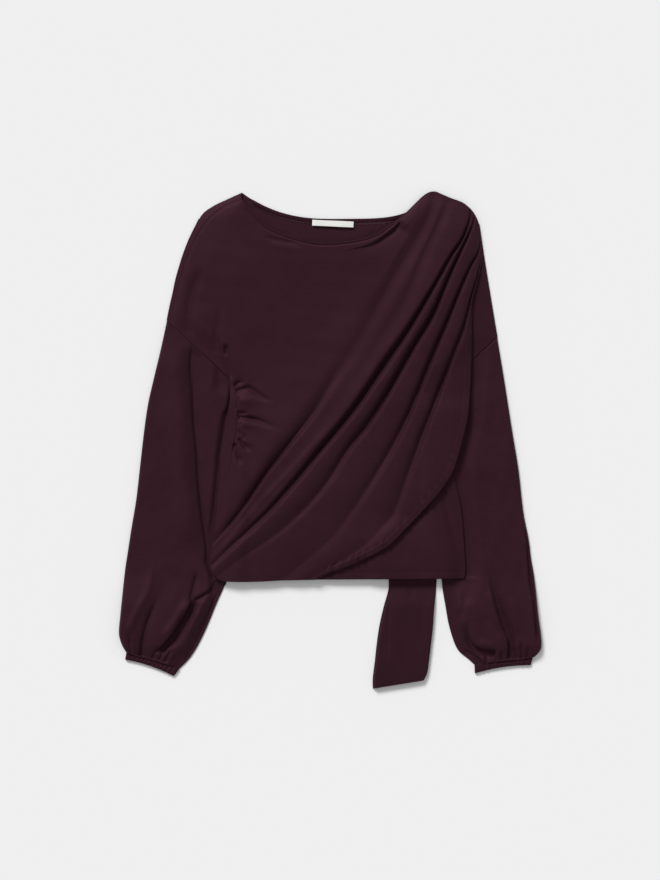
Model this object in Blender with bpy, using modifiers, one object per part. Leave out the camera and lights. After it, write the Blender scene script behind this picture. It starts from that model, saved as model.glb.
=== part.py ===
# A long-sleeved jersey top with a draped front, laid flat on a surface, front up.
# +X is to the viewer's right, +Y towards the neck, +Z up, and the surface is Z = 0.
# The tables are in millimetres, and MM turns them into Blender's metres.
import math
from collections import namedtuple

import bmesh
import bpy

MM = 0.001

# Driving sizes.
WALL = 1.2               # thickness of the jersey walls
BAND_WALL = 1.0          # thickness of the neck band and the label
GAP = 0.3                # space between pieces that meet
LAYER = WALL + GAP       # one layer of cloth on another
TUCKED_HEIGHT = 2.8      # a sleeve or the sash where the body lies on it
BODY_AIR = 1.6           # how far the front stands off the back inside the body
DRAPE_AIR = 1.3          # how far the drape stands off the front inside the body
BED_MARGIN = 14.0        # how far past a tucked piece the body stays at its height
BED_RAMP = 20.0          # width over which the body then comes down
ARMPIT_RAMP = 30.0       # length over which it rises below an armpit
BODY_COLUMNS = 20        # faces across the body
FACING_WIDTH = 8.0       # neck band at the back neckline
LABEL_LENGTH = 60.0
LABEL_WIDTH = 10.5
CUFF_RIPPLES = 9         # gathers across a cuff
CUFF_RIPPLE_HEIGHT = 0.5
CUFF_EDGE = 2.5          # width over which a cuff rounds at its ends
SLEEVE_EDGE = 2.0        # the same at a sleeve's inner and outer edges

BURGUNDY = (0.034, 0.012, 0.018, 1.0)
WHITE = (0.72, 0.72, 0.70, 1.0)

# The body is cut by sections that run across it, from the hem up to the neck. dip lowers
# the middle of a section, which makes the hollow of the neck, and rows is the number of
# faces up to the next section.
BodySection = namedtuple("BodySection", "left_x left_y right_x right_y dip rows")
BODY_SECTIONS = [
    BodySection(-165, -202, 194, -199, 0, 1),
    BodySection(-174, -171, 195, -177, 0, 2),
    BodySection(-164, -106, 188, -94, 0, 2),
    BodySection(-157, -17, 168, -12, 0, 3),
    BodySection(-139, 84, 154, 70, 0, 1),
    BodySection(-184, 126, 197, 109, 0, 1),
    BodySection(-236, 174, 242, 149, 6, 1),
    BodySection(-229, 207, 233, 203, 12, 2),
    BodySection(-213, 268, 223, 265, 24, 2),
    BodySection(-190, 320, 216, 313, 54, 1),
    BodySection(-171, 338, 201, 338, 48, 1),
    BodySection(-146, 349, 177, 349, 44, 1),
    BodySection(-127, 358, 149, 360, 39, 0),
]
FRONT_TOP = 9            # the front below the drape ends at this section, out of sight
DIP_LEFT_POWER = 2.6     # the neck's hollow is rounder to the left than to the right
DIP_RIGHT_POWER = 4.5

# The drape is cut along its pleats. Each guide is a valley or an edge, from the gathered
# shoulder (top) to the side seam or the hem (end). crest is how high the cloth stands
# beside the guide, and depth how far the guide lies below that.
Guide = namedtuple("Guide", "name columns top upper middle lower end crest depth")
Along = namedtuple("Along", "top middle end")
GUIDES = [
    Guide("chest", 5, (120, 339), (72, 268), (0, 218), (-72, 160), (-139, 84),
          Along(2, 3, 0), Along(0, 0, 0)),
    Guide("waist", 18, (133, 349), (102, 258), (22, 160), (-65, 65), (-157, -22),
          Along(4, 4, 0), Along(0, 0, 0)),
    Guide("soft_valley", 5, (149, 360), (108, 258), (30, 135), (-59, 3), (-168, -148),
          Along(5, 7, 1), Along(3.5, 3, 1)),
    Guide("shoulder_valley", 4, (177, 350), (142, 280), (75, 150), (-40, -25), (-172, -160),
          Along(6, 9, 1), Along(2, 0, 0)),
    Guide("first_pleat", 5, (200, 339), (176, 265), (85, 123), (-22, -22), (-174, -174),
          Along(7, 10, 2), Along(5, 9, 1)),
    Guide("second_pleat", 5, (212, 322), (184, 258), (103, 107), (5, -44), (-165, -202),
          Along(7, 10, 2), Along(5, 9, 1)),
    Guide("third_pleat", 5, (219, 293), (188, 218), (125, 73), (48, -84), (-99, -206),
          Along(7, 9, 3), Along(5, 7, 1)),
    Guide("fourth_pleat", 5, (220, 273), (194, 180), (158, 73), (112, -65), (-44, -203),
          Along(5, 8, 3), Along(2, 6, 1)),
    Guide("free_edge", 5, (222, 265), (203, 160), (198, 40), (144, -90), (-23, -199),
          Along(4, 6, 3), Along(0, 0, 0)),
]
NECK_CURVE = [(108, 327), (78, 303), (30, 286), (-16, 284), (-67, 299), (-106, 323), (-128, 356)]
SHOULDER_CURVE = [(-128, 356), (-171, 338), (-204, 294), (-222, 235), (-236, 174)]
NECK_SHARE = 0.55        # share of the rows that run into the neckline
NECK_ROWS = 14
SHOULDER_ROWS = 13
GENTLE_SIDE = 13.0       # reach of a valley on its upper side
STEEP_SIDE = 4.5         # reach of a valley on its lower side
SEWN_SHARE = 0.08        # the part of a pleat's length that the shoulder seam holds flat

# Short gathers that run from the left side seam into the drape.
Gather = namedtuple("Gather", "start_x start_y end_x end_y depth")
SIDE_GATHERS = [
    Gather(-138, 77, -96, 62, 1.8),
    Gather(-133, 58, -112, 52, 0.9),
    Gather(-132, 40, -106, 38, 1.8),
    Gather(-132, 31, -101, 25, 1.6),
    Gather(-132, 16, -116, 9, 1.4),
    Gather(-133, 4, -118, -12, 1.4),
    Gather(-137, -6, -124, -32, 1.5),
    Gather(-141, -13, -130, -34, 1.3),
]
GATHER_REACH = 3.0

# Each sleeve is a flattened tube. tuck is how much of its inner side lies under the body,
# and crown how high the rest stands.
SleeveSection = namedtuple("SleeveSection", "outer_x outer_y inner_x inner_y tuck crown")
LEFT_SLEEVE = [
    SleeveSection(-236.3, 173.4, -140.3, 83.4, 26, 4.6),
    SleeveSection(-245, 133, -147, 51, 26, 5.4),
    SleeveSection(-255, 91, -146, 14, 26, 5.8),
    SleeveSection(-264, 51, -146, -22, 26, 5.8),
    SleeveSection(-270, 9, -146, -58, 26, 5.8),
    SleeveSection(-276, -44, -146, -102, 28, 5.8),
    SleeveSection(-281, -87, -148, -138, 32, 5.8),
    SleeveSection(-288, -129, -149, -171, 34, 5.8),
    SleeveSection(-294, -168, -150, -205, 30, 5.8),
    SleeveSection(-300, -215, -164, -236, 10, 6.0),
    SleeveSection(-304, -254, -178, -270, 6, 6.0),
    SleeveSection(-306, -280, -191, -297, 6, 6.0),
    SleeveSection(-302, -296, -204, -317, 6, 5.6),
    SleeveSection(-295, -308, -218, -331, 6, 5.0),
]
RIGHT_SLEEVE = [
    SleeveSection(242.3, 148.4, 155.2, 69.2, 40, 4.6),
    SleeveSection(250, 102, 161, 36, 40, 5.4),
    SleeveSection(256, 64, 160, 4, 42, 5.8),
    SleeveSection(264, 13, 160, -32, 44, 5.8),
    SleeveSection(273, -42, 160, -72, 42, 5.8),
    SleeveSection(280, -103, 161, -116, 40, 5.8),
    SleeveSection(288, -144, 161, -157, 40, 5.8),
    SleeveSection(291, -169, 162, -183, 40, 5.8),
    SleeveSection(298, -215, 163, -215, 30, 5.8),
    SleeveSection(302, -254, 167, -239, 8, 6.0),
    SleeveSection(306, -284, 173, -271, 6, 6.0),
    SleeveSection(306, -302, 184, -302, 6, 6.0),
    SleeveSection(299, -312, 200, -317, 6, 5.6),
    SleeveSection(294, -315, 209, -325, 6, 5.0),
]
SLEEVE_STATIONS = 2      # stations for each section of a sleeve
SLEEVE_TOP_POINTS = 8    # points across the raised part of a sleeve
CROWN_RISE = 24.0        # width over which a sleeve rises to its crown
EDGE_ROLL = 7.0          # width over which it turns down to its outer edge

# Folds of the sleeves: a valley where depth is above zero, a ridge where it is below.
SleeveFold = namedtuple("SleeveFold", "start_x start_y middle_x middle_y end_x end_y reach depth")
SLEEVE_FOLDS = [
    SleeveFold(-218, 150, -218, 20, -212, -50, 12, 1.2),
    SleeveFold(-198, -240, -212, -268, -232, -294, 8, 2.4),
    SleeveFold(-262, -248, -268, -284, -276, -306, 7, 2.0),
    SleeveFold(-246, -205, -270, -255, -290, -275, 9, -1.2),
    SleeveFold(234, -132, 234, -219, 258, -309, 8, 2.2),
    SleeveFold(199, -262, 205, -294, 238, -302, 7, 2.2),
    SleeveFold(197, -220, 190, -250, 181, -266, 8, 1.6),
]

# Each cuff is a gathered tube: outer and inner ends of its upper and lower lines, and how
# far the middle of its lower line is bowed towards the sleeve.
Cuff = namedtuple("Cuff", "outer_top inner_top outer_low inner_low height bow")
LEFT_CUFF = Cuff((-295.2, -308.6), (-218.2, -331.7), (-297, -318), (-226, -342), 4.6, 3)
RIGHT_CUFF = Cuff((294.1, -315.6), (209.2, -325.6), (291, -326), (210, -338), 4.6, 3)

# The sash tail: a band folded lengthwise, whose upper end is hidden by the body.
SashSection = namedtuple("SashSection", "left_x left_y right_x right_y fold_x")
SASH_SECTIONS = [
    SashSection(84, -142, 155, -142, 88),
    SashSection(84, -188, 155, -188, 88),
    SashSection(85, -214, 154, -213, 87),
    SashSection(78, -241, 151, -244, 86),
    SashSection(72, -267, 149, -273, 85),
    SashSection(68, -293, 146, -299, 85),
    SashSection(65, -320, 144, -316, 84),
    SashSection(62, -345, 141, -337, 82),
    SashSection(62, -360, 136, -348, 80),
]


def clear_scene():
    for item in list(bpy.data.objects):
        bpy.data.objects.remove(item, do_unlink=True)


def ramp(value, start, end):
    """Smooth step from 0 at start to 1 at end."""
    share = min(1.0, max(0.0, (value - start) / (end - start)))
    return share * share * (3.0 - 2.0 * share)


def mix(first, second, share):
    return first + (second - first) * share


def between(first, second, share):
    """Point or row between two tuples of numbers."""
    return tuple(mix(a, b, share) for a, b in zip(first, second))


def smooth_curve(points, per_span=12):
    """Points along a smooth curve that passes through the given ones."""
    result = []
    last = len(points) - 1
    for index in range(last):
        before = points[max(index - 1, 0)]
        start = points[index]
        end = points[index + 1]
        after = points[min(index + 2, last)]
        for step in range(per_span):
            t = step / per_span
            result.append(tuple(
                0.5 * (2 * b + (c - a) * t + (2 * a - 5 * b + 4 * c - d) * t ** 2
                       + (3 * b - a - 3 * c + d) * t ** 3)
                for a, b, c, d in zip(before, start, end, after)))
    result.append(tuple(points[last]))
    return result


def point_at(curve, share):
    """Point at a share of a curve's length."""
    lengths = [math.dist(a, b) for a, b in zip(curve, curve[1:])]
    wanted = share * sum(lengths)
    for index, length in enumerate(lengths):
        if wanted <= length or index == len(lengths) - 1:
            return between(curve[index], curve[index + 1], min(1.0, wanted / length))
        wanted -= length
    return curve[-1]


def value_between(table, key):
    """Value at a key in a list of (key, value) pairs whose keys fall."""
    if key >= table[0][0]:
        return table[0][1]
    for (high, first), (low, second) in zip(table, table[1:]):
        if key >= low:
            return mix(first, second, (high - key) / max(high - low, 1e-6))
    return table[-1][1]


def along(values, share):
    """Value between the top, middle and end ones of a guide."""
    if share < 0.45:
        return mix(values.top, values.middle, ramp(share, 0.0, 0.45))
    return mix(values.middle, values.end, ramp(share, 0.45, 1.0))


def distance_to_line(x, y, points):
    """Distance to a run of straight lines, and the share of its length at the nearest."""
    total = sum(math.dist(a, b) for a, b in zip(points, points[1:]))
    best = (1e9, 0.0)
    passed = 0.0
    for (ax, ay), (bx, by) in zip(points, points[1:]):
        length = math.hypot(bx - ax, by - ay)
        t = ((x - ax) * (bx - ax) + (y - ay) * (by - ay)) / (length * length)
        t = min(1.0, max(0.0, t))
        away = math.hypot(x - mix(ax, bx, t), y - mix(ay, by, t))
        best = min(best, (away, (passed + t * length) / total))
        passed += length
    return best


LEFT_TUCK_LINE = [(row.inner_y, row.inner_x) for row in LEFT_SLEEVE]
RIGHT_TUCK_LINE = [(row.inner_y, row.inner_x) for row in RIGHT_SLEEVE]
LEFT_SIDE_LINE = [(row.left_y, row.left_x) for row in reversed(BODY_SECTIONS)]
RIGHT_SIDE_LINE = [(row.right_y, row.right_x) for row in reversed(BODY_SECTIONS)]


def bed(x, y):
    """Height of the body's underside: it lies on the sleeves' inner sides and the sash."""
    down = BED_MARGIN + BED_RAMP
    left_edge = value_between(LEFT_TUCK_LINE, y)
    right_edge = value_between(RIGHT_TUCK_LINE, y)
    left_armpit = LEFT_SLEEVE[0].inner_y
    right_armpit = RIGHT_SLEEVE[0].inner_y
    over_left = ramp(x, left_edge + down, left_edge + BED_MARGIN)
    over_left *= ramp(y, left_armpit, left_armpit - ARMPIT_RAMP)
    over_right = ramp(x, right_edge - down, right_edge - BED_MARGIN)
    over_right *= ramp(y, right_armpit, right_armpit - ARMPIT_RAMP)
    sash = SASH_SECTIONS[0]
    over_sash = ramp(x, sash.left_x - down, sash.left_x - BED_MARGIN)
    over_sash *= ramp(y, sash.left_y + down, sash.left_y + 4)
    over_sash *= ramp(x, sash.right_x + down, sash.right_x + BED_MARGIN)
    return (TUCKED_HEIGHT + GAP) * max(over_left, over_right, over_sash)


def body_air(x, y):
    """Share of the air inside the body: none at its sides, all of it 45 mm in."""
    from_left = x - value_between(LEFT_SIDE_LINE, y)
    from_right = value_between(RIGHT_SIDE_LINE, y) - x
    return ramp(from_left, 4, 45) * ramp(from_right, 4, 45)


def make_material(name, colour):
    material = bpy.data.materials.new(name)
    material.use_nodes = True
    shader = material.node_tree.nodes["Principled BSDF"]
    shader.inputs["Base Color"].default_value = colour
    shader.inputs["Roughness"].default_value = 0.85
    shader.inputs["Metallic"].default_value = 0.0
    return material


def make_wall(name, rows, material, collection, closed=False, wall=WALL, inward=False):
    """Wall of cloth on a grid of points: rows of (x, y, z) in millimetres.

    A closed row is a ring. The wall grows up from the points, or inward from a ring's.
    """
    mesh = bpy.data.meshes.new(name)
    grid = bmesh.new()
    points = [[grid.verts.new([c * MM for c in point]) for point in row] for row in rows]
    for low, high in zip(points, points[1:]):
        spans = len(low) if closed else len(low) - 1
        for index in range(spans):
            following = (index + 1) % len(low)
            grid.faces.new((low[index], low[following], high[following], high[index]))
    grid.to_mesh(mesh)
    grid.free()
    mesh.materials.append(material)
    mesh.shade_smooth()
    item = bpy.data.objects.new(name, mesh)
    collection.objects.link(item)
    solidify = item.modifiers.new("wall", "SOLIDIFY")
    solidify.thickness = wall * MM
    solidify.offset = -1.0 if inward else 1.0
    solidify.use_rim = True
    return item


def body_rows(top=len(BODY_SECTIONS) - 1):
    """Plan of the body: rows of (x, y) from the hem to the section named top."""
    sections = []
    for low, high in zip(BODY_SECTIONS[:top], BODY_SECTIONS[1:]):
        sections += [BodySection(*between(low, high, k / low.rows)) for k in range(low.rows)]
    sections.append(BODY_SECTIONS[top])
    return [[section_point(section, column / BODY_COLUMNS) for column in range(BODY_COLUMNS + 1)]
            for section in sections]


def section_point(section, share):
    """Point across a section; the columns are closer together at the sides."""
    even = share
    bunched = 0.5 - 0.5 * math.cos(math.pi * share)
    t = mix(even, bunched, 0.6)
    x = mix(section.left_x, section.right_x, t)
    power = DIP_LEFT_POWER if t < 0.5 else DIP_RIGHT_POWER
    hollow = section.dip * (1.0 - abs(2.0 * t - 1.0) ** power)
    return x, mix(section.left_y, section.right_y, t) - hollow


def make_back_panel(jersey, collection):
    rows = [[(x, y, bed(x, y)) for x, y in row] for row in body_rows()]
    make_wall("back_panel", rows, jersey, collection)


def make_front_panel(jersey, collection):
    rows = [[(x, y, bed(x, y) + LAYER + BODY_AIR * body_air(x, y)) for x, y in row]
            for row in body_rows(FRONT_TOP)]
    make_wall("front_panel", rows, jersey, collection)


def guide_curves():
    """Plan curves of the drape: its neck and shoulder edge, then each guide."""
    curves = [None]
    for guide in GUIDES:
        curves.append(smooth_curve([guide.top, guide.upper, guide.middle, guide.lower, guide.end]))
    return curves


def edge_point(share):
    """Point on the drape's neckline, and past the neck point on its shoulder edge."""
    if share <= NECK_SHARE:
        return point_at(smooth_curve(NECK_CURVE), share / NECK_SHARE)
    return point_at(smooth_curve(SHOULDER_CURVE), (share - NECK_SHARE) / (1.0 - NECK_SHARE))


def row_shares():
    """Shares of the pleats' length for the rows: closer at the shoulder and the side."""
    neck = [NECK_SHARE * (k / NECK_ROWS) ** 1.3 for k in range(NECK_ROWS)]
    rest = [1.0 - (1.0 - NECK_SHARE) * (1.0 - k / SHOULDER_ROWS) ** 1.5
            for k in range(SHOULDER_ROWS + 1)]
    return neck + rest


def valley(distance, reach):
    return math.exp(-(distance / reach) ** 1.5)


def gather_relief(x, y):
    """How far the side gathers press the drape in at a point."""
    total = 0.0
    for row in SIDE_GATHERS:
        line = [(row.start_x, row.start_y), (row.end_x, row.end_y)]
        away, share = distance_to_line(x, y, line)
        total += row.depth * math.exp(-(away / GATHER_REACH) ** 2) * (1.0 - share) ** 0.7
    return total


def drape_height(x, y, share, span, t, width):
    """Height of the drape's underside between guides span and span + 1."""
    first = GUIDES[span - 1] if span else None
    second = GUIDES[span]
    crest = mix(along(first.crest, share) if first else 0.0, along(second.crest, share), t)
    height = crest
    if first:
        height -= along(first.depth, share) * valley(t * width, STEEP_SIDE)
    height -= along(second.depth, share) * valley((1.0 - t) * width, GENTLE_SIDE)
    height = max(0.0, height) * ramp(share, -0.03, SEWN_SHARE)
    side = 1.6 * ramp(1.0 - share, 0.0, 0.05) if second.name in ("waist", "soft_valley") else 0.0
    height = max(0.0, height + side - gather_relief(x, y))
    air = DRAPE_AIR * body_air(x, y) * ramp(share, 0.0, 0.05)
    return bed(x, y) + 2 * LAYER + BODY_AIR * body_air(x, y) + air + height


def make_front_drape(jersey, collection):
    curves = guide_curves()
    rows = []
    for share in row_shares():
        stations = [edge_point(share)] + [point_at(curve, share) for curve in curves[1:]]
        row = []
        for span, guide in enumerate(GUIDES):
            start = stations[span]
            end = stations[span + 1]
            width = math.dist(start, end)
            for column in range(guide.columns + (guide is GUIDES[-1])):
                t = column / guide.columns
                x, y = between(start, end, t)
                row.append((x, y, drape_height(x, y, share, span, t, width)))
        rows.append(row)
    rows.reverse()
    make_wall("front_drape", rows, jersey, collection)


def make_back_facing(jersey, collection):
    """Band inside the back neckline, on the back panel."""
    top = body_rows()[-1][2:-3]
    low = [(x, y - FACING_WIDTH) for x, y in top]
    rows = [[(x, y, LAYER) for x, y in line] for line in (low, top)]
    make_wall("neck_facing", rows, jersey, collection, wall=BAND_WALL)


def make_label(plain, collection):
    """Blank label sewn to the neck band."""
    tilt = math.radians(-4.0)
    centre = (4.4, 314.0)
    height = LAYER + BAND_WALL + GAP
    rows = []
    for across in (-0.5, 0.5):
        row = []
        for length in (-0.5, -0.17, 0.17, 0.5):
            x = length * LABEL_LENGTH
            y = across * LABEL_WIDTH
            row.append((centre[0] + x * math.cos(tilt) - y * math.sin(tilt),
                        centre[1] + x * math.sin(tilt) + y * math.cos(tilt), height))
        rows.append(row)
    make_wall("neck_label", rows, plain, collection, wall=BAND_WALL)


def sleeve_relief(x, y):
    total = 0.0
    for fold in SLEEVE_FOLDS:
        line = [(fold.start_x, fold.start_y), (fold.middle_x, fold.middle_y), (fold.end_x, fold.end_y)]
        away, share = distance_to_line(x, y, line)
        total += fold.depth * math.exp(-(away / fold.reach) ** 2) * math.sin(math.pi * mix(0.12, 0.88, share))
    return total


def sleeve_ring(section):
    """Ring round a flattened sleeve, from its inner edge over the top and back below."""
    inner = (section.inner_x, section.inner_y)
    outer = (section.outer_x, section.outer_y)
    width = math.dist(inner, outer)
    tuck = min(section.tuck, 0.5 * width)
    raised = [mix(tuck, width - EDGE_ROLL, k / (SLEEVE_TOP_POINTS - 1))
              for k in range(SLEEVE_TOP_POINTS)]
    places = [SLEEVE_EDGE, 0.5 * (SLEEVE_EDGE + tuck)] + raised + [width - SLEEVE_EDGE]
    ring = [inner + (0.5 * TUCKED_HEIGHT,)]
    for place in places:
        x, y = between(inner, outer, place / width)
        height = mix(TUCKED_HEIGHT, section.crown, ramp(place, tuck, tuck + CROWN_RISE))
        height = mix(TUCKED_HEIGHT, height, ramp(place, width + 2, width - EDGE_ROLL))
        ring.append((x, y, max(TUCKED_HEIGHT, height - sleeve_relief(x, y))))
    ring.append(outer + (0.5 * TUCKED_HEIGHT,))
    for place in (width - SLEEVE_EDGE, 0.66 * width, 0.33 * width, SLEEVE_EDGE):
        ring.append(between(inner, outer, place / width) + (0.0,))
    return ring


def make_sleeve(name, sections, jersey, collection):
    rings = []
    last = len(sections) - 1
    for index in range(last):
        for step in range(SLEEVE_STATIONS):
            share = step / SLEEVE_STATIONS
            rings.append(sleeve_ring(SleeveSection(*between(sections[index], sections[index + 1], share))))
    rings.append(sleeve_ring(sections[last]))
    if name == "sleeve_right":
        rings.reverse()
    make_wall(name, rings, jersey, collection, closed=True, inward=True)


def cuff_ring(inner, outer, height, bow):
    """Ring round a cuff; its upper side is gathered into ripples."""
    width = math.dist(inner, outer)

    def place_point(place, z):
        x, y = between(inner, outer, place / width)
        return x, y + bow * math.sin(math.pi * place / width), z

    ring = [place_point(0.0, 0.5 * height)]
    count = 2 * CUFF_RIPPLES
    for k in range(count + 1):
        ripple = CUFF_RIPPLE_HEIGHT * math.cos(math.pi * k)
        place = mix(CUFF_EDGE, width - CUFF_EDGE, k / count)
        ring.append(place_point(place, height - CUFF_RIPPLE_HEIGHT + ripple))
    ring.append(place_point(width, 0.5 * height))
    for place in (width - CUFF_EDGE, 0.66 * width, 0.33 * width, CUFF_EDGE):
        ring.append(place_point(place, 0.0))
    return ring


def make_cuff(name, cuff, jersey, collection):
    rings = [cuff_ring(cuff.inner_top, cuff.outer_top, cuff.height, 0.0),
             cuff_ring(cuff.inner_low, cuff.outer_low, cuff.height, cuff.bow)]
    if name == "cuff_right":
        rings.reverse()
    make_wall(name, rings, jersey, collection, closed=True, inward=True)


def make_sash(jersey, collection):
    """Sash tail: one wall that lies on the surface and turns back over itself."""
    rows = []
    for section in SASH_SECTIONS:
        left = (section.left_x, section.left_y)
        right = (section.right_x, section.right_y)
        width = math.dist(left, right)
        row = []
        for place in (0.0, 0.33 * width, 0.66 * width, width - 2.0):
            row.append(between(left, right, place / width) + (0.0,))
        row.append(right + (0.5 * TUCKED_HEIGHT,))
        for place in (width - 2.0, 0.66 * width, 0.33 * width, section.fold_x - section.left_x):
            row.append(between(left, right, place / width) + (TUCKED_HEIGHT,))
        rows.append(row)
    make_wall("sash_tail", rows, jersey, collection, inward=True)


def main():
    clear_scene()
    collection = bpy.data.collections.new("draped_top")
    bpy.context.scene.collection.children.link(collection)
    jersey = make_material("jersey", BURGUNDY)
    plain = make_material("label", WHITE)
    make_back_panel(jersey, collection)
    make_front_panel(jersey, collection)
    make_front_drape(jersey, collection)
    make_back_facing(jersey, collection)
    make_label(plain, collection)
    make_sleeve("sleeve_left", LEFT_SLEEVE, jersey, collection)
    make_sleeve("sleeve_right", RIGHT_SLEEVE, jersey, collection)
    make_cuff("cuff_left", LEFT_CUFF, jersey, collection)
    make_cuff("cuff_right", RIGHT_CUFF, jersey, collection)
    make_sash(jersey, collection)


main()
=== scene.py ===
# A draped long-sleeved jersey top laid flat, front up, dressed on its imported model.
# Lengths in the dictionaries are in millimetres, and mm turns them into metres.
import math

import bpy
import numpy as np
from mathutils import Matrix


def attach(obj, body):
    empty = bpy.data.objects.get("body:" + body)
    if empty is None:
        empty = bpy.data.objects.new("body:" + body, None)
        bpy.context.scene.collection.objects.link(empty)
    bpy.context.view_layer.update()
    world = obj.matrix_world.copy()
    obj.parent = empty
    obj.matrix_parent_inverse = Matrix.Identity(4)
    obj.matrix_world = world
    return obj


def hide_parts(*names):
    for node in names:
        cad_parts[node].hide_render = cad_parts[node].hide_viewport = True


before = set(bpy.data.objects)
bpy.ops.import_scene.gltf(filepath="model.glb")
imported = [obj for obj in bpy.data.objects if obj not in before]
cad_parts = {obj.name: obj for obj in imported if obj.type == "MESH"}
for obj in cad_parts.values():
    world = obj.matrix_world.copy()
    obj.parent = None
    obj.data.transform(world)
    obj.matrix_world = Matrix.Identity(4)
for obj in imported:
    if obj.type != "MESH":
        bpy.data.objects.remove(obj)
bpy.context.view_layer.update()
mm = 0.001
print("frame loaded")

# the studio: straight down, soft light from the upper left, pale floor

studio = dict(
    cameraHeight=3013, lens=85, sensor=36,
    floorSize=40000, floorColour=(0.80, 0.80, 0.80), floorRoughness=0.9,
    keyFrom=(-0.40, 0.80, 0.62), keyStrength=3.1, keyAngle=20,
    worldColour=(1.0, 1.0, 1.0), worldStrength=0.52,
)


def addObject(name, data):
    made = bpy.data.objects.new(name, data)
    bpy.context.scene.collection.objects.link(made)
    return made


def newMaterial(name, settings):
    material = bpy.data.materials.new(name)
    material.use_nodes = True
    shader = material.node_tree.nodes["Principled BSDF"]
    for key, value in settings.items():
        shader.inputs[key].default_value = value
    return material, shader


def makeStudio():
    camera = bpy.data.cameras.new("photoCamera")
    camera.type = "PERSP"
    camera.lens = studio["lens"]
    camera.sensor_width = studio["sensor"]
    cameraObject = addObject("photoCamera", camera)
    cameraObject.location = (0, 0, studio["cameraHeight"] * mm)
    bpy.context.scene.camera = cameraObject

    key = bpy.data.lights.new("keyLight", "SUN")
    key.energy = studio["keyStrength"]
    key.angle = math.radians(studio["keyAngle"])
    keyObject = addObject("keyLight", key)
    x, y, z = studio["keyFrom"]
    keyObject.rotation_euler = (math.atan2(math.hypot(x, y), z), 0, math.atan2(x, -y))

    world = bpy.data.worlds.new("studio")
    bpy.context.scene.world = world
    world.use_nodes = True
    background = world.node_tree.nodes["Background"]
    background.inputs["Color"].default_value = studio["worldColour"] + (1,)
    background.inputs["Strength"].default_value = studio["worldStrength"]
    bpy.context.scene.view_settings.view_transform = "Standard"

    half = studio["floorSize"] * mm / 2
    mesh = bpy.data.meshes.new("floor")
    corners = [(-half, -half, 0), (half, -half, 0), (half, half, 0), (-half, half, 0)]
    mesh.from_pydata(corners, [], [(0, 1, 2, 3)])
    floor = addObject("floor", mesh)
    material, _ = newMaterial("paleFloor", {"Base Color": studio["floorColour"] + (1,),
                                            "Roughness": studio["floorRoughness"],
                                            "Specular IOR Level": 0.0})
    mesh.materials.append(material)


makeStudio()
print("studio made")

# shapes


def smoothStep(value, start, end):
    share = np.clip((np.asarray(value, float) - start) / (end - start), 0, 1)
    return share * share * (3 - 2 * share)


# a groove's depth at a distance from its middle
def groove(away, depth, width):
    return depth * np.exp(-(away / width) ** 2)


# shares of a span, drawn closer together at both ends
def bunched(shares, weight):
    return (1 - weight) * shares + weight * (0.5 - 0.5 * np.cos(math.pi * shares))


# the height of an edge that rounds off: its share of the full height, from 0 at the rim to 1
def rounding(share):
    return np.sqrt(1 - (1 - share) ** 2)


def unit(vectors):
    return vectors / np.maximum(np.linalg.norm(vectors, axis=1), 1e-6)[:, None]


def turned(points):
    return np.transpose(points, (1, 0, 2))


# length run up to each point of a line
def runLength(line):
    steps = np.linalg.norm(np.diff(line, axis=0), axis=1)
    return np.concatenate([[0], np.cumsum(steps)])


# points at shares of the way from one line to another, with their heights; bow moves them in y
def between(start, end, share, z, bow=0):
    spot = start + (end - start) * share[..., None]
    return np.dstack([spot[..., 0], spot[..., 1] + bow, z])


# Catmull-Rom through rows of numbers
def smoothCurve(points, perSpan=16):
    points = np.asarray(points, float)
    padded = np.vstack([points[:1], points, points[-1:]])
    t = np.linspace(0, 1, perSpan, endpoint=False)[:, None]
    spans = []
    for a, b, c, d in zip(padded, padded[1:], padded[2:], padded[3:]):
        spans.append(0.5 * (2 * b + (c - a) * t + (2 * a - 5 * b + 4 * c - d) * t ** 2
                            + (3 * b - a - 3 * c + d) * t ** 3))
    return np.vstack(spans + [points[-1:]])


# points at shares of a curve's length
def alongCurve(curve, shares):
    length = runLength(curve[:, :2])
    return np.stack([np.interp(np.asarray(shares) * length[-1], length, column)
                     for column in curve.T], axis=-1)


# points on a smooth curve that passes each given point at its own station
def alongStations(points, stations, shares, perSpan=24):
    curve = smoothCurve(points, perSpan)
    spot = np.interp(shares, stations, np.arange(len(points))) * perSpan
    return np.stack([np.interp(spot, np.arange(len(curve)), column) for column in curve.T], axis=-1)


# smooth values at even stations, read at shares; reach is how many steps each is blended over
def alongValues(values, shares, steps=240, reach=15):
    fine = np.linspace(0, 1, steps + 1)
    table = np.interp(fine, np.linspace(0, 1, len(values)), values)
    window = np.hanning(2 * reach + 1)
    table = np.convolve(np.pad(table, reach, mode="edge"), window / window.sum(), mode="valid")
    return np.interp(shares, fine, table)


# distance from points to a curve, share of its length there, and side: +1 to the left of its run
def lineDistance(x, y, line):
    line = np.asarray(line, float)
    steps = np.linalg.norm(np.diff(line, axis=0), axis=1)
    total = steps.sum()
    best = np.full(np.shape(x), 1e9)
    share = np.zeros(np.shape(x))
    side = np.ones(np.shape(x))
    passed = 0
    for (ax, ay), (bx, by), length in zip(line, line[1:], steps):
        ux = (bx - ax) / length
        uy = (by - ay) / length
        t = np.clip((x - ax) * ux + (y - ay) * uy, 0, length)
        away = np.hypot(x - ax - t * ux, y - ay - t * uy)
        nearer = away < best
        best = np.where(nearer, away, best)
        share = np.where(nearer, (passed + t) / total, share)
        side = np.where(nearer, np.sign(ux * (y - ay) - uy * (x - ax)), side)
        passed += length
    return best, share, side


# Smooth unevenness: each of the rows in waves has a height, a usual wavelength and a seed.
noise = dict(count=9, shortest=0.6, longest=1.6, phase=6.3, level=3)


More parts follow.
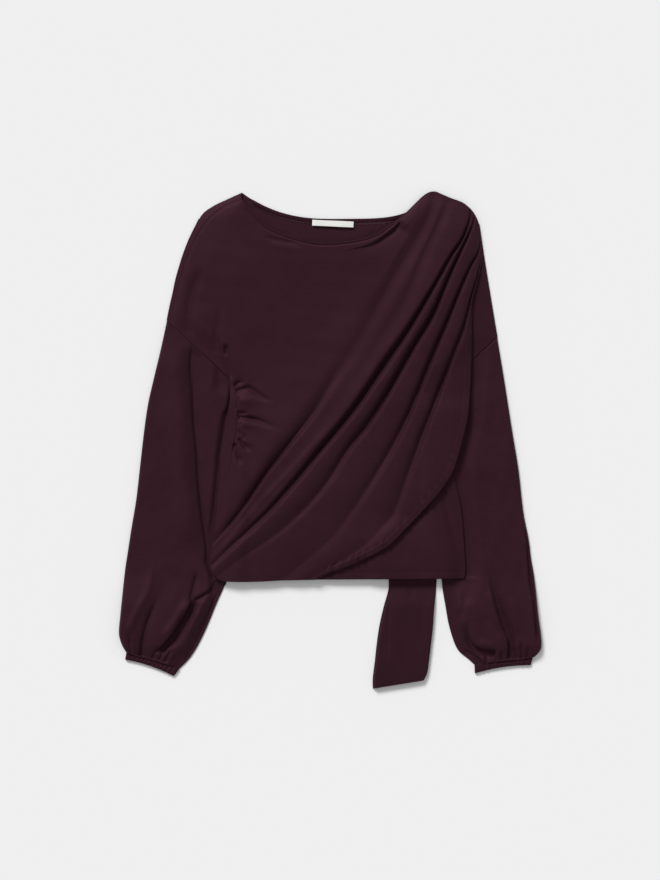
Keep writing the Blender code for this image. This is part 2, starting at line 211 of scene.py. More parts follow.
def uneven(x, y, waves):
    total = np.zeros(np.shape(x))
    for height, size, seed in waves:
        rng = np.random.default_rng(seed)
        wavy = np.zeros(np.shape(x))
        for _ in range(noise["count"]):
            angle = rng.uniform(0, math.pi)
            turn = 2 * math.pi / (size * rng.uniform(noise["shortest"], noise["longest"]))
            along = x * math.cos(angle) + y * math.sin(angle)
            wavy += np.sin(turn * along + rng.uniform(0, noise["phase"]))
        total += height * wavy / noise["level"]
    return total


# A crease: its depth, how far it reaches, and the points it runs through. A ridge has
# a depth below zero. fade gives the shares of its run over which it starts and ends. A ledge is
# lower to the left of its run: floor is how far it stays low, roll how far its upper side rounds.
ledge = dict(step=1.1, fallPower=1.3, rolled=0.45, rollPower=2.2)
sidePower = dict(trough=2, sharp=1.3)


def fold(depth, reach, *line, fade=(0.25, 0.35), form="trough", floor=0, roll=1):
    return dict(depth=depth, reach=reach, line=line, fade=fade, form=form, floor=floor, roll=roll)


# how far creases press the cloth in
def pressCreases(x, y, creases):
    total = np.zeros(np.shape(x))
    for crease in creases:
        away, share, side = lineDistance(x, y, smoothCurve(crease["line"], 6))
        fadeIn, fadeOut = crease["fade"]
        taper = smoothStep(share, -0.001, fadeIn) * smoothStep(1 - share, -0.001, fadeOut)
        if crease["form"] == "ledge":
            step = ledge["step"]
            signed = away * side
            past = np.maximum(signed - crease["floor"], 0) / crease["reach"]
            shape = smoothStep(signed, -step, step) * np.exp(-past ** ledge["fallPower"])
            rolled = np.clip(1 + np.minimum(signed, 0) / crease["roll"], 0, 1) ** ledge["rollPower"]
            shape = np.where(signed < step, np.maximum(shape, ledge["rolled"] * rolled), shape)
        else:
            shape = np.exp(-(away / crease["reach"]) ** sidePower[crease["form"]])
        total += crease["depth"] * shape * taper
    return total


# adds columns that roll a sheet's edge down and back under it
def roundLip(points, thickness, last=True, under=3.0, bulge=0.9):
    edge, inner = (points[:, -1], points[:, -4]) if last else (points[:, 0], points[:, 3])
    outward = unit(edge[:, :2] - inner[:, :2])
    thickness = np.minimum(thickness, np.maximum(edge[:, 2] - 0.3, 0.2))
    columns = []
    for angle in (45, 90, 135, 180):
        out = 0.5 * thickness * math.sin(math.radians(angle)) * bulge
        down = 0.5 * thickness * (1 - math.cos(math.radians(angle)))
        columns.append(np.column_stack([edge[:, :2] + outward * out[:, None], edge[:, 2] - down]))
    columns.append(np.column_stack([edge[:, :2] - outward * under, edge[:, 2] - thickness]))
    columns = np.stack(columns, axis=1)
    return np.hstack([points, columns]) if last else np.hstack([columns[:, ::-1], points])


# mesh on a grid of points in millimetres; uv is in metres on the cloth
def sheetPiece(name, points, material, ring=False, flip=False, uv=None):
    rows, columns = points.shape[:2]
    across = columns if ring else columns - 1
    r, c = np.meshgrid(np.arange(rows - 1), np.arange(across), indexing="ij")
    following = (c + 1) % columns
    faces = np.stack([r * columns + c, r * columns + following,
                      (r + 1) * columns + following, (r + 1) * columns + c], axis=-1).reshape(-1, 4)
    if flip:
        faces = faces[:, ::-1]
    mesh = bpy.data.meshes.new(name)
    mesh.from_pydata((points.reshape(-1, 3) * mm).tolist(), [], faces.tolist())
    if uv is None:
        uv = points[:, :, :2] * mm
    layer = mesh.uv_layers.new(name="cloth")
    layer.data.foreach_set("uv", uv.reshape(-1, 2)[faces.reshape(-1)].astype(np.float32).ravel())
    mesh.materials.append(material)
    mesh.shade_smooth()
    return addObject(name, mesh)


# an object's mesh with its modifiers applied
def finishedMesh(made, name):
    bpy.context.view_layer.update()
    mesh = bpy.data.meshes.new_from_object(made.evaluated_get(bpy.context.evaluated_depsgraph_get()))
    mesh.name = name
    return mesh


# thickens a sheet inwards from its outer face
def giveWall(piece, thickness):
    wall = piece.modifiers.new("wall", "SOLIDIFY")
    wall.thickness = thickness * mm
    wall.offset = -1
    solid = finishedMesh(piece, piece.name)
    piece.modifiers.clear()
    piece.data = solid


# attaches a piece to the root; one that stands for a solid has its node and its flat sheet in its
# dictionary, and that node's imported part is hidden
def place(piece, sheet=None):
    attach(piece, "root")
    if sheet:
        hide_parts(sheet["node"])


# finishes

cloth = dict(
    colour=(0.0182, 0.0053, 0.0095), lighter=(0.0229, 0.0070, 0.0121), paleLift=1.2,
    roughness=0.62, specular=0.18, specularTint=(1.0, 0.42, 0.52),
    sheen=0.04, sheenRoughness=0.5, sheenTint=(0.80, 0.45, 0.52),
    wale=0.62, course=0.48, knitHeight=0.05, knitBump=0.35,
    yarnScale=700.0, yarnShare=1.4, ribShare=-0.5,
    streakScale=(75.0, 460.0, 1.0), streakShare=0.6, cloudScale=9.0, cloudShare=0.4,
    shadeLow=0.36, shadeHigh=0.64,
)
satin = dict(
    dark=(0.66, 0.66, 0.63, 1.0), light=(0.80, 0.80, 0.78, 1.0), roughness=0.5, specular=0.35,
    threadScale=(300.0, 2600.0, 1.0), threadHeight=0.05, threadBump=0.4,
)


def socket(group, name, kind, way, value=None):
    item = group.interface.new_socket(name=name, in_out=way, socket_type=kind)
    if value is not None:
        item.default_value = value


def nodeMaker(tree):
    def make(kind, inputs=None, **settings):
        node = tree.nodes.new(kind)
        for key, value in settings.items():
            setattr(node, key, value)
        for key, value in (inputs or {}).items():
            if isinstance(value, bpy.types.NodeSocket):
                tree.links.new(value, node.inputs[key])
            else:
                node.inputs[key].default_value = value
        return node
    return make


# jersey face: columns of small V stitches, uneven yarn, and faint streaks along the courses
def knitGroup():
    group = bpy.data.node_groups.new("jerseyKnit", "ShaderNodeTree")
    socket(group, "Cloth", "NodeSocketVector", "INPUT")
    socket(group, "Wale", "NodeSocketFloat", "INPUT", cloth["wale"] * mm)
    socket(group, "Course", "NodeSocketFloat", "INPUT", cloth["course"] * mm)
    socket(group, "Height", "NodeSocketFloat", "OUTPUT")
    socket(group, "Shade", "NodeSocketFloat", "OUTPUT")
    node = nodeMaker(group)

    def maths(operation, *values):
        return node("ShaderNodeMath", dict(enumerate(values)), operation=operation).outputs[0]

    def noisy(vector, scale, detail, roughness=0.5):
        return node("ShaderNodeTexNoise", {"Vector": vector, "Scale": scale, "Detail": detail,
                                           "Roughness": roughness}).outputs["Fac"]

    given = node("NodeGroupInput")
    result = node("NodeGroupOutput")
    onCloth = given.outputs["Cloth"]
    split = node("ShaderNodeSeparateXYZ", {0: onCloth})
    inWale = maths("FRACT", maths("DIVIDE", split.outputs[0], given.outputs["Wale"]))
    lean = maths("ABSOLUTE", maths("SUBTRACT", inWale, 0.5))
    leaned = maths("ADD", maths("DIVIDE", split.outputs[1], given.outputs["Course"]), lean)
    loops = maths("SINE", maths("MULTIPLY", leaned, 2 * math.pi))
    legs = maths("COSINE", maths("MULTIPLY", lean, 4 * math.pi))
    knitted = maths("ADD", loops, maths("MULTIPLY", legs, cloth["ribShare"]))
    yarn = noisy(onCloth, cloth["yarnScale"], 3.0)
    stretched = node("ShaderNodeMapping", {"Vector": onCloth, "Scale": cloth["streakScale"]})
    streaks = maths("MULTIPLY", noisy(stretched.outputs[0], 1.0, 4.0, 0.6), cloth["streakShare"])
    cloudy = noisy(onCloth, cloth["cloudScale"], 3.0)
    group.links.new(maths("MULTIPLY_ADD", yarn, cloth["yarnShare"], knitted), result.inputs["Height"])
    group.links.new(maths("MULTIPLY_ADD", cloudy, cloth["cloudShare"], streaks), result.inputs["Shade"])
    return group


# mixes two colours and raises a fine surface, both by given masks
def dress(tree, node, shader, mask, dark, light, height, bump, distance):
    mixed = node("ShaderNodeMix", {"Factor": mask, "A": dark, "B": light}, data_type="RGBA")
    tree.links.new(mixed.outputs["Result"], shader.inputs["Base Color"])
    raised = node("ShaderNodeBump", {"Height": height, "Strength": bump, "Distance": distance * mm})
    tree.links.new(raised.outputs["Normal"], shader.inputs["Normal"])


def jerseyMaterial(name, knit, tone=1.0, wale=1.0, pale=None):
    material, shader = newMaterial(name, {
        "Roughness": cloth["roughness"],
        "Specular IOR Level": cloth["specular"], "Specular Tint": cloth["specularTint"] + (1,),
        "Sheen Weight": cloth["sheen"], "Sheen Roughness": cloth["sheenRoughness"],
        "Sheen Tint": cloth["sheenTint"] + (1,)})
    tree = material.node_tree
    node = nodeMaker(tree)
    coordinates = node("ShaderNodeUVMap", uv_map="cloth")
    pattern = node("ShaderNodeGroup", node_tree=knit)
    tree.links.new(coordinates.outputs["UV"], pattern.inputs["Cloth"])
    pattern.inputs["Wale"].default_value = cloth["wale"] * mm * wale
    pattern.inputs["Course"].default_value = cloth["course"] * mm * wale
    spread = node("ShaderNodeMapRange", {"Value": pattern.outputs["Shade"],
                                         "From Min": cloth["shadeLow"], "From Max": cloth["shadeHigh"]})
    dark = tuple(c * tone for c in pale or cloth["colour"]) + (1,)
    lift = cloth["paleLift"] if pale else 1
    light = tuple(c * tone * lift for c in pale or cloth["lighter"]) + (1,)
    dress(tree, node, shader, spread.outputs[0], dark, light, pattern.outputs["Height"],
          cloth["knitBump"], cloth["knitHeight"])
    return material


# white satin: long floats across, a little uneven
def labelMaterial():
    material, shader = newMaterial("labelSatin", {"Roughness": satin["roughness"],
                                                  "Specular IOR Level": satin["specular"]})
    tree = material.node_tree
    node = nodeMaker(tree)
    coordinates = node("ShaderNodeUVMap", uv_map="cloth")
    across = node("ShaderNodeMapping", {"Vector": coordinates.outputs["UV"], "Scale": satin["threadScale"]})
    threads = node("ShaderNodeTexNoise", {"Vector": across.outputs[0], "Scale": 1.0, "Detail": 2.0})
    dress(tree, node, shader, threads.outputs["Fac"], satin["dark"], satin["light"],
          threads.outputs["Fac"], satin["threadBump"], satin["threadHeight"])
    return material


knit = knitGroup()
jersey = jerseyMaterial("jersey", knit)
insideJersey = jerseyMaterial("jerseyInside", knit, tone=1.08, wale=1.15)
ribJersey = jerseyMaterial("jerseyBand", knit, tone=0.84, wale=0.9)
# painted shade: darker copies of the same jersey for the front panel and the sash, standing in for the
# shade they lie in
panelJerseyPaintedShade = jerseyMaterial("jerseyPanelPaintedShade", knit, tone=0.92)
sashJerseyPaintedShade = jerseyMaterial("jerseySashPaintedShade", knit, tone=0.88)
threadMaterial = jerseyMaterial("sewingThread", knit, tone=1.5)
# pale finish for the rows of beads along the facing's lower edge, which make a streak lighter than the band
paleStreak = jerseyMaterial("paleStreak", knit, pale=(0.072, 0.040, 0.044))
labelWhite = labelMaterial()
print("finishes made")

# how the layers lie on each other; the open hem stands off at the right, clear of the side seam

layers = dict(wall=1.2, bandWall=1.0, gap=0.3, tucked=2.8, bodyAir=1.6, drapeAir=1.3, airRun=(4, 45),
              bedMargin=14, bedRamp=20, sashMargin=4, armpitRamp=30,
              hemLift=5.5, hemLiftX=(-70, 20), hemLiftY=(-95, -190), hemLiftSeam=(1, 26), lip=1.6)
layerStep = layers["wall"] + layers["gap"]

# columns: left x, left y, right x, right y, dip in the middle; from the hem up to the neck
body = dict(
    sections=[
        (-165, -202.4, 194, -199.8, 0),
        (-174, -171, 195, -177, 0),
        (-164, -106, 188, -94, 0),
        (-157, -17, 168, -12, 0),
        (-139, 84, 154, 70, 0),
        (-184, 126, 197, 109, 0),
        (-236, 174, 242, 149, 6),
        (-229, 207, 233, 203, 12),
        (-213, 268, 223, 265, 24),
        (-190, 320, 216, 313, 54),
        (-171, 338, 201, 338, 48),
        (-146, 349, 177, 349, 44),
        (-127, 358, 149, 360, 39),
    ],
    armpit=4, shoulderPoint=6, frontTop=9, neck=12,
    rowsPerSection=10, columns=150, bunching=0.6, leftPower=2.6, rightPower=4.5,
)

# columns: outer x, outer y, inner x, inner y, width tucked under the body, crown; armhole to cuff.
# cover is the edge of the body's cloth over the sleeve; gutter and beside are where the sleeve
# rises again next to it.
leftSleeve = dict(
    sections=[
        (-236.3, 173.4, -140.3, 83.4, 26, 4.6),
        (-245, 133, -141, 48, 26, 5.4),
        (-255, 91, -145, 14, 26, 5.8),
        (-264, 51, -146, -22, 26, 5.8),
        (-270, 9, -146, -58, 26, 5.8),
        (-276, -44, -146, -102, 28, 5.8),
        (-281, -87, -148, -138, 32, 5.8),
        (-288, -129, -149, -171, 34, 5.8),
        (-294, -168, -150, -205, 30, 5.8),
        (-296.5, -184, -153.5, -213, 12, 5.8),
        (-300, -215, -164, -236, 4, 6.0),
        (-304, -254, -178, -270, 6, 6.0),
        (-306, -280, -191, -297, 6, 6.0),
        (-302, -296, -204, -317, 6, 5.6),
        (-295, -308, -218, -331, 6, 5.0),
    ],
    creases=[
        fold(5.4, 16, (-201.5, 139), (-203, 109), (-200, 68), (-198, 26), (-194, -16), (-190, -78),
             (-186, -111), (-180, -151), (-176, -180), (-172, -194), form="ledge", roll=15,
             fade=(0.06, 0.04)),
        fold(2.0, 2.2, (-201, 138), (-202.5, 109), (-199.5, 68), (-197.5, 26), (-193.5, -16),
             (-189.5, -78), (-185.5, -111), (-179.5, -151), (-174, -186), fade=(0.1, 0.04)),
        fold(-4.6, 16, (-222, 156), (-222, 100), (-218, 20), (-213, -60), (-207, -120), (-199, -165),
             fade=(0.2, 0.12)),
        fold(0.5, 12, (-258, 120), (-262, 20), (-266, -60)),
        fold(-0.5, 14, (-240, 60), (-243, -30), (-238, -120)),
        fold(5.0, 6, (-163, -201), (-174, -214.6), (-184, -223), (-199, -231), form="ledge", floor=2,
             fade=(0.02, 0.1)),
        fold(4.2, 3.0, (-192, -190), (-196, -208), (-199.5, -222), (-202, -236), form="sharp",
             fade=(0.3, 0.08)),
        fold(10.5, 4, (-200, -229), (-204, -241), (-213.5, -259), (-225, -277), (-240, -294), (-254, -308),
             form="ledge", floor=6.5, fade=(0.12, 0.16)),
        fold(-2.8, 6, (-203, -226), (-210, -240), (-221, -257), (-233, -275), (-247, -291),
             fade=(0.3, 0.3)),
        fold(3.0, 5.0, (-206, -246), (-211, -256), (-218, -272), (-226, -290), (-232, -303),
             fade=(0.25, 0.25)),
        fold(-1.0, 6, (-186, -243), (-196, -266), (-206, -286)),
        fold(2.4, 2.6, (-244, -297), (-252, -306), (-257, -317), fade=(0.4, 0.05)),
        fold(2.4, 2.4, (-229, -303), (-234, -312), (-239, -322), fade=(0.3, 0.05)),
        fold(2.0, 2.0, (-236, -302), (-242, -310), (-247, -319), fade=(0.4, 0.05)),
        fold(6.0, 4.4, (-246, -222), (-255, -242), (-264, -264), (-270, -288), (-274, -314), form="sharp",
             fade=(0.45, 0.02)),
        fold(1.2, 3, (-291, -280), (-289, -299), (-287, -311), fade=(0.4, 0.05)),
        fold(0.9, 2.2, (-281, -290), (-281.5, -312), fade=(0.4, 0.05)),
        fold(1.0, 2.2, (-266, -296), (-266, -317), fade=(0.4, 0.05)),
        fold(-2.6, 6, (-256, -170), (-263, -217), (-282, -254), (-292, -281), fade=(0.4, 0.12)),
        fold(2.0, 2.6, (-292, -276), (-289, -290), (-287, -302), form="sharp"),
        fold(1.2, 3.5, (-209, -304), (-220, -310), (-228, -322), fade=(0.3, 0.05)),
        fold(0.9, 8, (-235, -196), (-246, -232), (-258, -258)),
        fold(-0.8, 9, (-212, -195), (-224, -224), (-238, -262)),
        fold(3.6, 1.5, (-153, -206), (-164, -225), (-174, -249), (-184, -273), (-196, -298), (-211, -321),
             fade=(0.02, 0.02)),
    ],
    cover=[(-139, 84), (-138, 66), (-141, 48), (-148, 36), (-151.4, 14.5), (-157, -22), (-163.8, -106),
           (-169, -150), (-173, -175), (-166, -201)],
    gutter=2, beside=10, waves=[(0.5, 75, 11), (0.16, 30, 12)], piece="leftSleeve", mirrored=False,
    node="sleeve_left", flat=(265, 430), area=0.114, held="gathered",
)

rightSleeve = dict(
    sections=[
        (242.3, 148.4, 155.2, 69.2, 40, 4.6),
        (250, 102, 161, 36, 40, 5.4),
        (256, 64, 160, 4, 42, 5.8),
        (264, 13, 160, -32, 44, 5.8),
        (273, -42, 160, -72, 42, 5.8),
        (280, -103, 161, -116, 40, 5.8),
        (288, -144, 161, -157, 40, 5.8),
        (291, -169, 162, -183, 40, 5.8),
        (295, -192, 162, -199, 36, 5.8),
        (298, -215, 163, -215, 14, 5.8),
        (302, -254, 167, -239, 8, 6.0),
        (306, -284, 173, -271, 6, 6.0),
        (306, -302, 184, -302, 6, 6.0),
        (299, -312, 200, -317, 6, 5.6),
        (294, -315, 209, -325, 6, 5.0),
    ],
    creases=[
        fold(9.0, 9, (230, -186), (231.5, -206), (236, -226), (243, -252), (252, -276), (258, -292),
             (257, -318), form="ledge", floor=4, roll=4, fade=(0.5, 0.03)),
        fold(3.2, 2.6, (243, -252), (252, -272), (260.5, -290), (259, -308), fade=(0.3, 0.2)),
        fold(1.6, 3.4, (247, -248), (256, -262), (264, -284)),
        fold(-1.8, 6, (228, -214), (238, -246), (250, -280)),
        fold(-0.8, 6, (262, -222), (267, -250), (272, -276)),
        fold(9.6, 5, (242, -306), (226, -303), (212, -299), (204, -288), (198.7, -262), form="ledge",
             floor=5.5, roll=4, fade=(0.08, 0.5)),
        fold(-1.8, 5, (240, -299), (226, -295), (212, -291)),
        fold(1.6, 6, (197, -217.5), (193, -241), (186, -255), (178, -267)),
        fold(2.4, 3.0, (193, -306), (205, -310), (212, -316), (217.5, -325), fade=(0.2, 0.05)),
        fold(2.2, 2.2, (227.7, -306), (226.2, -324), fade=(0.3, 0.05)),
        fold(2.6, 3.0, (248, -303), (249, -319), fade=(0.4, 0.05)),
        fold(2.6, 2.7, (265, -299), (267, -318), fade=(0.4, 0.05)),
        fold(3.0, 2.6, (276, -287), (278, -317), fade=(0.5, 0.05)),
        fold(2.2, 2.4, (288, -295), (285, -316), fade=(0.4, 0.05)),
        fold(2.0, 2.2, (240, -312), (238, -322), fade=(0.3, 0.05)),
        fold(1.6, 1.9, (215, -311), (215, -325), fade=(0.4, 0.05)),
        fold(0.7, 3, (271, -272.6), (274, -290)),
        fold(4.2, 1.7, (280, -116), (285.5, -152), (289.5, -200), (294.4, -232), (297.7, -264),
             (300.6, -297), fade=(0.2, 0.12)),
        fold(-0.5, 3, (276, -116), (281, -152), (285, -200), (290, -232), (293, -264), (295, -290),
             fade=(0.2, 0.2)),
        fold(1.0, 6, (214.6, -217.5), (219, -246.5), (229, -278)),
        fold(0.9, 10, (228, -40), (230.5, -116), (233, -174)),
        fold(-0.5, 11, (250, 60), (262, -40), (268, -120)),
        fold(0.5, 12, (226, 90), (240, 20), (247, -60)),
    ],
    cover=[(204.4, 153.7), (203.7, 108.8), (201.5, 71), (197.9, 33.4), (188.5, -7), (181, -45), (186, -90),
           (191.5, -132), (194.3, -177), (193, -200)],
    gutter=9, beside=18, waves=[(0.5, 75, 23), (0.16, 30, 24)], piece="rightSleeve", mirrored=True,
    node="sleeve_right", flat=(250, 400), area=0.099, held="gathered",
)

# columns: left x, left y, right x, right y, x of the edge of the upper fold
sash = dict(
    sections=[
        (84, -142, 155, -142, 88),
        (84, -188, 155, -188, 88),
        (85, -214, 154, -213, 87),
        (78, -241, 151, -244, 86),
        (72, -267, 149, -273, 85),
        (68, -293, 146, -299, 85),
        (65, -320, 144, -316, 84),
        (62, -345, 141, -337, 82),
        (62, -360, 136, -348, 80),
    ],
    creases=[
        fold(0.5, 6, (140, -215), (133, -262), (128, -310)),
        fold(-0.4, 9, (100, -220), (96, -280), (97, -340)),
        fold(0.6, 5, (118, -205), (117, -235)),
    ],
    waves=[(0.25, 45, 41)], rise=4.0, rim=2.0, wall=1.0, highest=5.2, lowest=-1.2,
    shownY=(-198, -214), hiddenDrop=1.2, hiddenY=(-244, -206), rimDrop=0.6,
    foldDrop=1.4, foldDropY=(-345, -240), foldGroove=1.1, foldGrooveWidth=1.6, foldGrooveY=(-330, -225),
    node="sash_tail", flat=(146, 216), area=0.031, held="folded",
)


# height of the body's underside, which lies on the sleeves' inner sides and the sash
def bedHeight(x, y):
    near = layers["bedMargin"]
    down = near + layers["bedRamp"]
    leftX, top, rightX = sash["sections"][0][:3]
    over = smoothStep(x, leftX - down, leftX - near) * smoothStep(y, top + down, top + layers["sashMargin"])
    over *= smoothStep(x, rightX + down, rightX + near)
    for sleeve, side in ((leftSleeve, 1), (rightSleeve, -1)):
        rows = np.array(sleeve["sections"][::-1])
        fromEdge = side * (x - np.interp(y, rows[:, 3], rows[:, 2]))
        onSleeve = smoothStep(fromEdge, down, near)
        onSleeve *= smoothStep(y, rows[-1, 3], rows[-1, 3] - layers["armpitRamp"])
        over = np.maximum(over, onSleeve)
    return (layers["tucked"] + layers["gap"]) * over


def fromSides(x, y):
    rows = np.array(body["sections"], float)
    return x - np.interp(y, rows[:, 1], rows[:, 0]), np.interp(y, rows[:, 3], rows[:, 2]) - x


# share of the air inside the body: none at its sides, all of it further in
def bodyAir(x, y):
    fromLeft, fromRight = fromSides(x, y)
    return smoothStep(fromLeft, *layers["airRun"]) * smoothStep(fromRight, *layers["airRun"])


# how far the open hem stands off the surface
def hemLift(x, y):
    lift = layers["hemLift"] * smoothStep(x, *layers["hemLiftX"]) * smoothStep(y, *layers["hemLiftY"])
    return lift * smoothStep(fromSides(x, y)[1], *layers["hemLiftSeam"])


# plan of a body panel, x and y, from the hem to the section called top
def bodyGrid(top):
    ends = [0, body["armpit"], body["shoulderPoint"], top]
    rows = []
    for first, last in zip(ends, ends[1:]):
        rows.append(smoothCurve(body["sections"][first:last + 1], body["rowsPerSection"])[:-1])
    rows = np.vstack(rows + [np.array([body["sections"][top]], float)])
    t = bunched(np.linspace(0, 1, body["columns"] + 1), body["bunching"])
    leftX, leftY, rightX, rightY, dip = (column[:, None] for column in rows.T)
    power = np.where(t < 0.5, body["leftPower"], body["rightPower"])
    x = leftX + (rightX - leftX) * t
    y = leftY + (rightY - leftY) * t - dip * (1 - np.abs(2 * t - 1) ** power)
    return x, y


# back panel: the bottom layer, seen inside the neck and from behind

backPanel = dict(
    creases=[
        fold(0.7, 7, (-96, 318), (-60, 303), (-20, 297)),
        fold(-0.6, 7, (40, 304), (70, 309), (98, 322)),
        fold(0.5, 12, (-60, 250), (-90, 120), (-70, -40)),
        fold(0.5, 14, (90, 240), (60, 90), (85, -60)),
    ],
    creaseShare=0.5, seenY=(285, 300), waves=[(0.25, 70, 3)], wall=1.1,
    node="back_panel", flat=(470, 562), area=0.203, restsOn=["sleeve_left", "sleeve_right"],
)


def makeBackPanel():
    x, y = bodyGrid(body["neck"])
    z = bedHeight(x, y) + layers["wall"] + uneven(x, y, backPanel["waves"]) * bodyAir(x, y)
    pressed = backPanel["creaseShare"] * pressCreases(x, y, backPanel["creases"])
    z = np.maximum(z - pressed * smoothStep(y, *backPanel["seenY"]), layers["wall"])
    piece = sheetPiece("backPanel", np.dstack([x, y, z]), insideJersey)
    giveWall(piece, backPanel["wall"])
    place(piece, backPanel)


makeBackPanel()
print("back panel made")

# front panel: plain layer under the drape, seen at the lower right

frontPanel = dict(
    hemBand=9, hemGroove=0.5, hemGrooveWidth=1.3, shownX=(30, 90), shownY=(60, -10),
    creases=[
        fold(1.4, 4.5, (162, -60), (167, -91), (175.4, -126), (183, -149), (186, -174)),
        fold(-0.6, 9, (150, -110), (160, -150), (165, -190)),
        fold(0.5, 8, (120, -150), (128, -175), (130, -200)),
        fold(0.5, 6, (60, -185), (66, -201)),
    ],
    waves=[(0.35, 60, 5)], node="front_panel", flat=(400, 522), area=0.180, restsOn=["back_panel"],
)


def makeFrontPanel():
    x, y = bodyGrid(body["frontTop"])
    air = bodyAir(x, y)
    z = bedHeight(x, y) + layerStep + layers["wall"] + layers["bodyAir"] * air + hemLift(x, y)
    shown = smoothStep(x, *frontPanel["shownX"]) * smoothStep(y, *frontPanel["shownY"])
    z = z + uneven(x, y, frontPanel["waves"]) * air * shown - pressCreases(x, y, frontPanel["creases"])
    z = z - groove(y - y[0] - frontPanel["hemBand"], frontPanel["hemGroove"], frontPanel["hemGrooveWidth"])
    points = np.dstack([x, y, z])
    points = roundLip(points, layers["lip"], last=True)
    points = roundLip(points, layers["lip"], last=False)
    points = turned(roundLip(turned(points), layers["lip"], last=False))
    place(sheetPiece("frontPanel", points, panelJerseyPaintedShade), frontPanel)


makeFrontPanel()
print("front panel made")

# front drape: pleats that fan from the right shoulder to the left side seam and the hem.
# The grid follows the pleats. Each guide is a valley: crest is how high the cloth stands beside
# it, depth how far it lies below that, gentle and steep how far its two sides reach. The four
# lists have six values each, from the shoulder to the far end; those not given are plain.
# Each bow bends the grid's rows near one end to a real edge, across the span between two guides.

